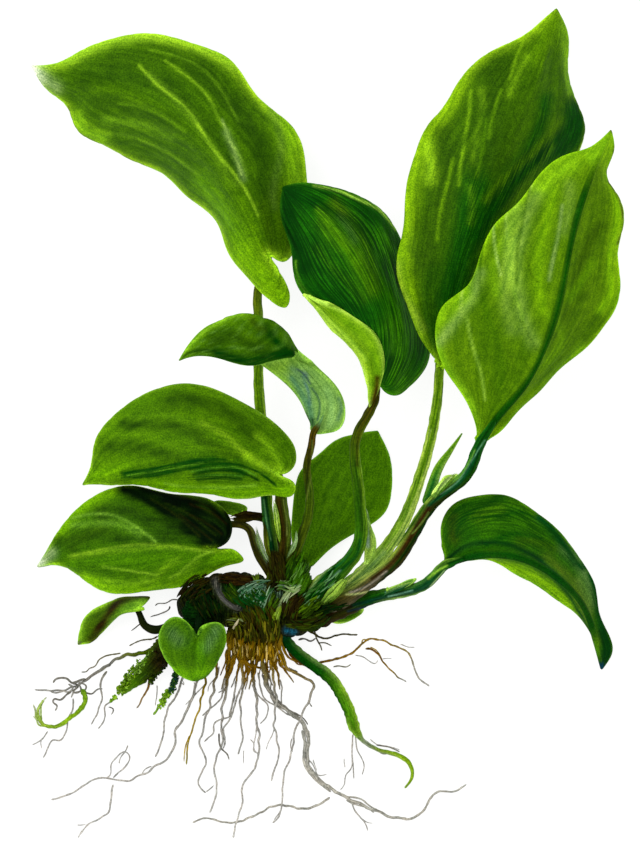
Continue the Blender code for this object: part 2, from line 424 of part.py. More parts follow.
def rhizome(name, finish, group, grow=0.0):
    """The creeping stem: a tube with a ring at each old leaf scar and a flat belly where it lies."""
    outline = [(x, y, r) for (x, y), r in zip(RHIZOME_AXIS, RHIZOME_RADII)]
    curve = along(smooth_curve(outline), np.linspace(0, 1, RHIZOME_STATIONS))
    run = np.concatenate([[0], np.cumsum(np.linalg.norm(np.diff(curve[:, :2], axis=0), axis=1))])
    rings = RING_HEIGHT * np.cos(2 * np.pi * run / RING_SPACING)
    radii = curve[:, 2] + rings * np.clip(curve[:, 2] / 8, 0, 1)
    points = [(x, y, r - RHIZOME_FLAT) for (x, y, _), r in zip(curve, radii)]
    points = [(x, y, max(z, 0)) for x, y, z in points]
    stem = bpy.data.curves.new(name, "CURVE")
    stem.dimensions = "3D"
    stem.bevel_depth = MM
    stem.bevel_resolution = RHIZOME_SIDES_RESOLUTION
    stem.use_fill_caps = True
    spline = stem.splines.new("POLY")
    spline.points.add(len(points) - 1)
    points = np.array(points)
    points[0] += grow * (points[0] - points[1]) / np.linalg.norm(points[0] - points[1])
    points[-1] += grow * (points[-1] - points[-2]) / np.linalg.norm(points[-1] - points[-2])
    for place, point, radius in zip(spline.points, points, radii):
        place.co = (*world(point), 1)
        place.radius = radius + grow
    obj = bpy.data.objects.new(name, stem)
    stem.materials.append(finish)
    group.objects.link(obj)
    made = as_mesh(obj, group)
    for vertex in made.data.vertices:
        vertex.co.z = max(vertex.co.z, -grow * MM)
    return made


def stalk(name, leaf_name, path, thick, thin):
    """A stalk that runs on under its leaf's midrib, a small gap away from the blade."""
    leaf = LEAVES[leaf_name]
    under = along(smooth_curve(leaf["midrib"]), [0, STALK_REACH / 2, STALK_REACH])
    ends = np.array([1.0, 0.75, 0.45]) * thin
    under[:, 2] += leaf["face"] * (BLADE_THICKNESS / 2 + 2 * GAP + ends)
    whole = smooth_curve([*path, *under])
    length = np.linalg.norm(np.diff(whole, axis=0), axis=1).sum()
    shares = np.linspace(0, 1, max(4, round(length / STALK_STEP)) + 1)
    radii = np.interp(shares, [0, 0.9, 1], [thick, thin, ends[-1]])
    obj = tube(name, along(whole, shares), radii, finishes["stalk"], STALK_SIDES_RESOLUTION, plant)
    made = as_mesh(obj, plant)
    cut(made, side_shoot_space if leaf_name == "small_left_leaf" else rhizome_space)
    return made


def root(name, path, thick, thin, colour):
    whole = smooth_curve(path)
    length = np.linalg.norm(np.diff(whole, axis=0), axis=1).sum()
    shares = np.linspace(0, 1, max(4, round(length / ROOT_STEP)) + 1)
    radii = thick + (thin - thick) * shares
    made = as_mesh(tube(name, along(whole, shares), radii, finishes[colour], ROOT_SIDES_RESOLUTION, plant), plant)
    if name in ROOTS_FROM_SIDE_SHOOT:
        cut(made, side_shoot_space)
    elif name not in LOOSE_ENDS:
        cut(made, rhizome_space)
    return made


plant = collection("anubias")
helpers = collection("cutters")

finishes = {
    "blade": material("leaf blade", LEAF_GREEN, 0.45),
    "dark": material("dark leaf blade", DARK_GREEN, 0.45),
    "pale": material("pale leaf underside", PALE_GREEN, 0.5),
    "stalk": material("leaf stalk", STALK_GREEN, 0.45),
    "rhizome": material("rhizome skin", RHIZOME_BROWN, 0.7),
    "brown": material("brown root", ROOT_BROWN, 0.65),
    "grey": material("grey root", ROOT_GREY, 0.65),
    "green": material("green root", ROOT_GREEN, 0.55),
}

rhizome("rhizome", finishes["rhizome"], plant)
rhizome_space = rhizome("rhizome_space", finishes["rhizome"], helpers, grow=GAP)

shoot_curve = smooth_curve([(*point[:2], radius) for point, radius in zip(SIDE_SHOOT_PATH, SIDE_SHOOT_RADII)])
shoot_height = smooth_curve(SIDE_SHOOT_PATH)
shoot_shares = np.linspace(0, 1, 12)
shoot_points = along(shoot_height, shoot_shares)
shoot_radii = along(shoot_curve, shoot_shares)[:, 2]
shoot = tube("side_shoot", shoot_points, shoot_radii, finishes["rhizome"], STALK_SIDES_RESOLUTION, plant)
shoot = as_mesh(shoot, plant)
cut(shoot, rhizome_space)
side_shoot_space = tube("side_shoot_space", shoot_points, shoot_radii + GAP, finishes["rhizome"],
                        STALK_SIDES_RESOLUTION, helpers)
side_shoot_space = as_mesh(side_shoot_space, helpers)

for leaf_name, leaf in LEAVES.items():
    grid = SMALL_BLADE_GRID if leaf_name in SMALL_LEAVES else BLADE_GRID
    blade(leaf_name, leaf, finishes[LEAF_FINISH.get(leaf_name, "blade")], grid)
for sheath_name, sheath in SHEATHS.items():
    blade(sheath_name, sheath, finishes["pale"], SHEATH_GRID)
cut(bpy.data.objects["crown_bud"], rhizome_space)
for stalk_name, stalk_facts in STALKS.items():
    stalk(stalk_name, *stalk_facts)
for root_name, root_facts in ROOTS.items():
    root(root_name, *root_facts)

spear_shares = np.linspace(0, 1, 10)
spear_radii = np.interp(spear_shares, np.linspace(0, 1, len(SPEAR_RADII)), SPEAR_RADII)
tube("rolled_leaf", along(smooth_curve(SPEAR_PATH), spear_shares), spear_radii, finishes["blade"],
     STALK_SIDES_RESOLUTION, plant)

for helper in helpers.objects:
    helper.hide_render = True
    helper.display_type = "WIRE"
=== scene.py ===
import bpy
import numpy as np
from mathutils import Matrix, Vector


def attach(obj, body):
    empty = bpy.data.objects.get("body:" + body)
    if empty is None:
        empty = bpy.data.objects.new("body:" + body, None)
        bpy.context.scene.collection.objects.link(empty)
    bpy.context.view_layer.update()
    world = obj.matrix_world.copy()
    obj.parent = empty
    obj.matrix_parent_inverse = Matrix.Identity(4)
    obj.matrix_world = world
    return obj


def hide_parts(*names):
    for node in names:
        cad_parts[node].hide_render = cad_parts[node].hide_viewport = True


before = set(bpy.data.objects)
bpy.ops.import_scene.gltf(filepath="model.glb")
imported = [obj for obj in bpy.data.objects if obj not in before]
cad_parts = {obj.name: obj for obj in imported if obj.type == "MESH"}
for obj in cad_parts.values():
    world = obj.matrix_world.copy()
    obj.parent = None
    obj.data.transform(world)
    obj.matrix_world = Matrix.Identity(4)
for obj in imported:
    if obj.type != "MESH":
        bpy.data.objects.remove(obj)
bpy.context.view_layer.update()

# An anubias lying on its side on a pale table, seen from straight above. Every point is in millimetres on
# the drawn plan: x to the right, y up the picture, z the height over the table. A path on the drawing is in
# pixels of its 640 by 843 frame, right and down in turn: 0.3 mm each.
plan = {"middle": (0.8, -0.15, 0.0), "metre": 0.001, "lowest": 0.02, "highest": 45.6, "pixel": (0.3, -0.3),
        "corner": (-97.35, 126.9)}

# The light on the plant is this many times what a white card needs, so its colours are darker by as much,
# and its sheen adds a little white to each.
studio = {
    "brightness": 1.3, "sheen": 0.0055, "darkest": 0.0006, "sky": 1.0, "lampShare": 0.4, "lampSize": 1.4,
    "lampPlace": (-0.9, 0.8, 1.7), "floorSize": 60.0, "floorPaint": "#7E7E7C", "floorGlow": 0.86,
    "floorRoughness": 0.9, "cameraHeight": 6.0, "viewHeight": 0.2529, "aim": (-2.15, 0.60), "sensor": 36.0,
    "clip": (0.1, 60.0),
}


def linearColour(code):  # sRGB hex to linear light, by the sRGB curve
    share = np.array([int(code[k:k + 2], 16) for k in (1, 3, 5)]) / 255
    return np.where(share <= 0.04045, share / 12.92, ((share + 0.055) / 1.055) ** 2.4)


def seen(code):  # the colour that a surface needs to look like this hex value in the studio's light
    return np.maximum(linearColour(code) - studio["sheen"], studio["darkest"]) / studio["brightness"]


def place(points):  # millimetres on the plan to metres around the plant's middle
    return (np.asarray(points, float) - plan["middle"]) * plan["metre"]


def smoothCurve(points, samples=240):
    # natural cubic spline through the points: each piece is the straight mean of its ends plus
    # (a^3 - a) and (b^3 - b) times the curvature at them, where a and b are the shares of the two ends
    points = np.array(points, float)
    knots = np.concatenate([[0], np.cumsum(np.linalg.norm(np.diff(points, axis=0), axis=1))])
    last = len(points) - 1
    step = np.diff(knots)[:, None]
    slope = np.diff(points, axis=0) / step
    system = np.eye(last + 1)
    bend = np.zeros_like(points)
    for i in range(1, last):
        system[i, i - 1:i + 2] = step[i - 1, 0], 2 * (step[i - 1, 0] + step[i, 0]), step[i, 0]
        bend[i] = 6 * (slope[i] - slope[i - 1])
    curvature = np.linalg.solve(system, bend)
    t = np.linspace(0, knots[-1], samples)
    i = np.clip(np.searchsorted(knots, t) - 1, 0, last - 1)
    h = step[i]
    a = (knots[i + 1] - t)[:, None] / h
    b = 1 - a
    curved = (a**3 - a) * curvature[i] + (b**3 - b) * curvature[i + 1]
    return a * points[i] + b * points[i + 1] + curved * h**2 / 6


def lengthsAlong(curve):
    return np.concatenate([[0], np.cumsum(np.linalg.norm(np.diff(curve, axis=0), axis=1))])


def alongCurve(curve, shares):  # points at these shares of a sampled curve's length
    lengths = lengthsAlong(curve)
    wanted = np.asarray(shares) * lengths[-1]
    return np.stack([np.interp(wanted, lengths, curve[:, k]) for k in range(curve.shape[1])], axis=1)


rippleBuild = {"waves": 14, "pitch": (0.7, 1.6), "gain": 2.2}


def ripples(u, v, size, seed, waves=rippleBuild["waves"]):
    # uneven surface from -1 to 1: gain times the mean of sine waves of random direction, about size mm long
    draw = np.random.default_rng(seed)
    turn = draw.uniform(0, 2 * np.pi, waves)
    pitch = 2 * np.pi / (size * draw.uniform(*rippleBuild["pitch"], waves))
    shift = draw.uniform(0, 2 * np.pi, waves)
    u, v = np.broadcast_arrays(u, v)
    total = np.zeros(u.shape)
    for k in range(waves):
        total += np.sin(u * np.cos(turn[k]) * pitch[k] + v * np.sin(turn[k]) * pitch[k] + shift[k])
    return np.clip(total * rippleBuild["gain"] / waves, -1, 1)


def inSpace(*numbers):  # x, y and z in turn, in millimetres, to rows of points
    return np.reshape(numbers, (-1, 3))


def onPlan(path):  # pixels on the drawing, right and down in turn, to millimetres on the plan
    return np.reshape(path, (-1, 2)) * plan["pixel"] + plan["corner"]


def drawn(path, samples=36):  # a smooth line through a path on the drawing, in millimetres
    points = onPlan(path)
    return smoothCurve(points, samples) if len(points) > 2 else points


def distanceTo(line, spots):  # least distance of each spot to the short straight pieces of a line
    best = np.full(spots.shape[:-1], 1e9)
    for a, d in zip(line[:-1], np.diff(line, axis=0)):
        share = np.clip(((spots - a) @ d) / (d @ d), 0, 1)
        best = np.minimum(best, np.linalg.norm(spots - a - share[..., None] * d, axis=-1))
    return best


def bell(distance, width):  # 1 on the line, falling to a third at its width
    return np.exp(-(distance / width) ** 2)


def painted(ground, colour, weight):  # one coat over another, by its weight
    return ground + weight[..., None] * (seen(colour) - ground)


def shell(rings, ends, across, down, paint, ink=None):
    # closed form: rings of points carried from one end point to the other, with a fan of triangles on each
    # end point; across and down are its UV in mm, where across has one more column than the ring
    rows, columns = rings.shape[:2]
    points = np.concatenate([rings.reshape(-1, 3), np.asarray(ends, float)])
    r, c = np.meshgrid(np.arange(rows - 1), np.arange(columns), indexing="ij")
    turn = (c + 1) % columns
    here, over = r * columns, (r + 1) * columns
    quads = np.stack([here + c, here + turn, over + turn, over + c], -1).reshape(-1, 4)
    quadUv = np.stack([
        np.stack([across[r, c], across[r, c + 1], across[r + 1, c + 1], across[r + 1, c]], -1),
        np.stack([down[r], down[r], down[r + 1], down[r + 1]], -1)], -1).reshape(-1, 4, 2)
    k = np.arange(columns)
    n, lastRow = rows * columns, (rows - 1) * columns
    fans = np.concatenate([
        np.stack([k * 0 + n, (k + 1) % columns, k], -1),
        np.stack([k * 0 + n + 1, lastRow + k, lastRow + (k + 1) % columns], -1)])
    middle = (across[:, :-1] + across[:, 1:]) / 2
    fanUv = np.concatenate([
        np.stack([np.stack([middle[end], *edges], -1), np.full((columns, 3), down[end])], -1)
        for end, edges in ((0, (across[0, 1:], across[0, :-1])), (-1, (across[-1, :-1], across[-1, 1:])))])
    corners = points[np.concatenate([quads[:, [0, 1, 2]], quads[:, [0, 2, 3]], fans])]
    volume = np.einsum("ij,ij->i", corners[:, 0], np.cross(corners[:, 1], corners[:, 2])).sum()
    if volume < 0:
        quads, quadUv, fans, fanUv = quads[:, ::-1], quadUv[:, ::-1], fans[:, ::-1], fanUv[:, ::-1]
    ink = np.zeros(rings.shape[:2]) if ink is None else ink
    return {
        "points": points, "quads": quads, "quadUv": quadUv, "fans": fans, "fanUv": fanUv,
        "paint": np.concatenate([paint.reshape(-1, 3), paint[0].mean(0)[None], paint[-1].mean(0)[None]]),
        "ink": np.concatenate([ink.ravel(), [ink[0].mean(), ink[-1].mean()]]),
    }


# The plan in small squares, each with the height of what lies highest in it.
terrain = {"low": np.array([-95.0, -130.0]), "cell": 0.6, "heights": np.zeros((320, 430))}
pieceCount = []


def terrainRise(points):  # the highest point made so far in each square of the plan
    cells = ((points[:, :2] - terrain["low"]) / terrain["cell"]).astype(int)
    inside = np.all((cells >= 0) & (cells < terrain["heights"].shape), axis=1)
    np.maximum.at(terrain["heights"], tuple(cells[inside].T), points[inside, 2])


def terrainUnder(spots):
    # height of what lies under each spot, the highest of its square and the eight round it
    cells = ((spots - terrain["low"]) / terrain["cell"]).astype(int)
    around = [terrain["heights"][cells[:, 0] + i, cells[:, 1] + j] for i in (-1, 0, 1) for j in (-1, 0, 1)]
    return np.max(around, axis=0)


def makePiece(name, shells, finish, slotName, *nodes):
    # one mesh from the shells, at the origin, with its UV in mm, its paint and its share of ink; what would
    # stand higher than the solids is pressed down, by most at its top and by nothing at half its height
    starts = np.cumsum([0] + [len(s["points"]) for s in shells])
    points = np.concatenate([s["points"] for s in shells])
    points[:, 2] = np.maximum(points[:, 2], plan["lowest"])
    excess = max(points[:, 2].max() - plan["highest"], 0)
    points[:, 2] -= excess * np.clip(points[:, 2] / points[:, 2].max() * 2 - 1, 0, 1)
    terrainRise(points)
    quads = np.concatenate([s["quads"] + start for s, start in zip(shells, starts)])
    fans = np.concatenate([s["fans"] + start for s, start in zip(shells, starts)])
    uv = np.concatenate([np.concatenate([s["quadUv"] for s in shells]).reshape(-1, 2),
                         np.concatenate([s["fanUv"] for s in shells]).reshape(-1, 2)])
    paint = np.concatenate([s["paint"] for s in shells])
    rgba = np.concatenate([np.clip(paint, 0, 1), np.ones((len(paint), 1))], 1)
    mesh = bpy.data.meshes.new(name)
    mesh.vertices.add(len(points))
    mesh.vertices.foreach_set("co", place(points).ravel())
    mesh.loops.add(quads.size + fans.size)
    mesh.loops.foreach_set("vertex_index", np.concatenate([quads.ravel(), fans.ravel()]))
    mesh.polygons.add(len(quads) + len(fans))
    mesh.polygons.foreach_set("loop_start", np.concatenate([
        np.arange(len(quads)) * 4, quads.size + np.arange(len(fans)) * 3]))
    mesh.polygons.foreach_set("use_smooth", np.ones(len(quads) + len(fans), bool))
    mesh.update(calc_edges=True)
    mesh.uv_layers.new(name="UVMap").data.foreach_set("uv", uv.ravel())
    mesh.color_attributes.new("paint", "FLOAT_COLOR", "POINT").data.foreach_set("color", rgba.ravel())
    ink = np.concatenate([s["ink"] for s in shells])
    mesh.attributes.new("ink", "FLOAT", "POINT").data.foreach_set("value", ink)
    mesh.materials.append(finish)
    mesh.validate()
    piece = bpy.data.objects.new(name, mesh)
    bpy.context.scene.collection.objects.link(piece)
    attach(piece, "root")
    if nodes:
        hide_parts(*nodes)
    pieceCount.append(2 * len(quads) + len(fans))


def addNode(tree, kind, values=None, links=None):
    # one node: values go to its sockets, or to its own settings where no socket has that name
    node = tree.nodes.new(kind)
    for key, value in (values or {}).items():
        if isinstance(key, str) and key not in node.inputs:
            setattr(node, key, value)
        else:
            node.inputs[key].default_value = value
    for key, source in (links or {}).items():
        tree.links.new(source, node.inputs[key])
    return node


def skinMaterial(name, look):
    # paint from the piece, with long streaks along its growth, a fine grain, and dark strokes where ink is
    # set; in a Mix node of colours 0 is the share, 6 and 7 are the two colours and output 2 is the result
    made = bpy.data.materials.new(name)
    made.use_nodes = True
    tree = made.node_tree
    shader = tree.nodes["Principled BSDF"]
    paint = addNode(tree, "ShaderNodeAttribute", {"attribute_name": "paint"})
    ink = addNode(tree, "ShaderNodeAttribute", {"attribute_name": "ink"})
    coords = addNode(tree, "ShaderNodeTexCoord")

    def noise(source, size, detail, roughness=0.55):
        scale = tuple(1 / s for s in size)
        spot = addNode(tree, "ShaderNodeMapping", {"Scale": scale}, {"Vector": source})
        return addNode(tree, "ShaderNodeTexNoise", {"Scale": 1.0, "Detail": detail, "Roughness": roughness},
                       {"Vector": spot.outputs[0]}).outputs[0]

    def tones(value, pair):  # one tint where the pattern is low, the other where it is high
        low, high = look["toneRange"]
        spread = addNode(tree, "ShaderNodeMapRange", {"From Min": low, "From Max": high}, {"Value": value})
        return addNode(tree, "ShaderNodeMix", {"data_type": "RGBA", 6: (*pair[0], 1), 7: (*pair[1], 1)},
                       {0: spread.outputs[0]}).outputs[2]

    streak = noise(coords.outputs["UV"], (*look["streak"], 1), 2.0)
    grain = noise(coords.outputs["Object"], (look["grain"] * plan["metre"],) * 3, 2.0, 0.7)
    mottle = noise(coords.outputs["Object"], (look["mottle"] * plan["metre"],) * 3, 2.0)
    hatch = noise(coords.outputs["UV"], (*look["hatch"], 1), 1.0)
    toned = paint.outputs["Color"]
    for value, key in ((streak, "streakTones"), (grain, "grainTones"), (mottle, "mottleTones")):
        toned = addNode(tree, "ShaderNodeVectorMath", {"operation": "MULTIPLY"},
                        {0: toned, 1: tones(value, look[key])}).outputs[0]
    low, high = look["inkRange"]
    stroke = addNode(tree, "ShaderNodeMapRange", {"From Min": low, "From Max": high}, {"Value": hatch})
    inked = addNode(tree, "ShaderNodeMath", {"operation": "MULTIPLY"},
                    {0: stroke.outputs[0], 1: ink.outputs["Fac"]})
    mixed = addNode(tree, "ShaderNodeMix", {"data_type": "RGBA", 7: (*seen(look["inkPaint"]), 1)},
                    {0: inked.outputs[0], 6: toned})
    height = addNode(tree, "ShaderNodeMath", {"operation": "MULTIPLY_ADD", 1: look["streakRelief"]},
                     {0: streak, 2: grain})
    depth = look["bumpDepth"] * plan["metre"]
    relief = addNode(tree, "ShaderNodeBump", {"Strength": look["bump"], "Distance": depth},
                     {"Height": height.outputs[0]})
    smooth, coarse = look["roughness"] - look["roughnessSpread"], look["roughness"] + look["roughnessSpread"]
    rough = addNode(tree, "ShaderNodeMapRange", {"To Min": smooth, "To Max": coarse}, {"Value": grain})
    tree.links.new(mixed.outputs[2], shader.inputs["Base Color"])
    tree.links.new(relief.outputs[0], shader.inputs["Normal"])
    tree.links.new(rough.outputs[0], shader.inputs["Roughness"])
    shader.inputs["IOR"].default_value = look["ior"]
    shader.inputs["Specular IOR Level"].default_value = look["gloss"]
    return made


# Sizes in mm: streak and hatch are (across, along) the growth, grain and mottle are round. Tones are what
# the paint is multiplied by, as red, green and blue, where the pattern is low and where it is high. The
# real cells are 0.05 mm wide, too fine to show, so their speckle is drawn ten times as coarse.
leafLook = {
    "streak": (0.9, 18.0), "streakTones": ((0.80, 0.84, 0.8), (1.26, 1.18, 1.2)),
    "grain": 0.42, "grainTones": ((0.56, 0.64, 0.58), (1.5, 1.38, 1.42)),
    "mottle": 2.6, "mottleTones": ((0.86, 0.89, 0.9), (1.16, 1.12, 1.1)),
    "hatch": (0.3, 7.0), "inkPaint": "#0A3F10", "bump": 0.35, "bumpDepth": 0.2,
    "streakRelief": 0.6, "toneRange": (0.36, 0.64), "inkRange": (0.45, 0.55),
    "roughness": 0.55, "roughnessSpread": 0.1, "ior": 1.4, "gloss": 0.03,
}
finishes = {
    # waxy upper skin: soft sheen, lime veins and margins over a mid green
    "leaf": skinMaterial("waxy upper leaf skin", leafLook),
    # the same skin, old and dark, with its fine parallel veins drawn dark green
    "darkLeaf": skinMaterial("dark waxy leaf skin", {
        **leafLook, "hatch": (0.34, 11.0), "inkPaint": "#06390D", "streak": (0.6, 16.0),
        "streakTones": ((0.6, 0.68, 0.65), (1.6, 1.45, 1.5)),
        "grainTones": ((0.6, 0.7, 0.6), (1.4, 1.3, 1.3))}),
    # matt underside, paler and greyer, its ribs raised
    "underside": skinMaterial("matt leaf underside", {
        **leafLook, "streakTones": ((0.8, 0.86, 0.8), (1.25, 1.17, 1.22)), "gloss": 0.02, "roughness": 0.65,
        "grainTones": ((0.64, 0.72, 0.66), (1.42, 1.32, 1.36))}),
    # papery dried sheath, translucent and streaked along its length
    "sheath": skinMaterial("papery leaf sheath", {
        **leafLook, "streak": (0.6, 9.0), "streakTones": ((0.6, 0.7, 0.66), (1.4, 1.3, 1.3)),
        "gloss": 0.02}),
    # firm stalk skin with long fibres under it
    "stalk": skinMaterial("smooth stalk skin", {
        **leafLook, "streak": (0.5, 9.0), "streakTones": ((0.5, 0.6, 0.6), (1.7, 1.5, 1.5)), "grain": 0.5,
        "grainTones": ((0.7, 0.76, 0.7), (1.3, 1.24, 1.3)), "hatch": (0.4, 8.0)}),
    # old corky stem, rough with torn fibres that run round it
    "rhizome": skinMaterial("corky rhizome skin", {
        **leafLook, "streak": (5.0, 0.55), "streakTones": ((0.35, 0.42, 0.42), (2.1, 2.0, 2.0)),
        "grain": 0.7, "grainTones": ((0.5, 0.55, 0.5), (1.7, 1.6, 1.5)), "hatch": (6.0, 0.45),
        "inkPaint": "#0A1408", "bump": 0.7, "bumpDepth": 0.5, "roughness": 0.7, "gloss": 0.02}),
    # dry fibres of old sheaths
    "fibre": skinMaterial("dry sheath fibre", {
        **leafLook, "streak": (0.3, 3.0), "grainTones": ((0.8, 0.8, 0.8), (1.2, 1.2, 1.2)), "gloss": 0.02}),
    # living roots: matt, faintly woolly with hairs
    "root": skinMaterial("woolly root skin", {
        **leafLook, "streak": (0.3, 4.0), "streakTones": ((0.7, 0.7, 0.7), (1.35, 1.33, 1.3)), "grain": 0.6,
        "grainTones": ((0.72, 0.72, 0.7), (1.3, 1.3, 1.28)), "inkPaint": "#3A3224",
        "bump": 0.5, "roughness": 0.7, "gloss": 0.02}),
    # tiny wet moss leaves
    "moss": skinMaterial("wet moss leaves", {**leafLook, "grain": 0.7, "roughness": 0.45}),
}
print("materials made:", len(finishes))

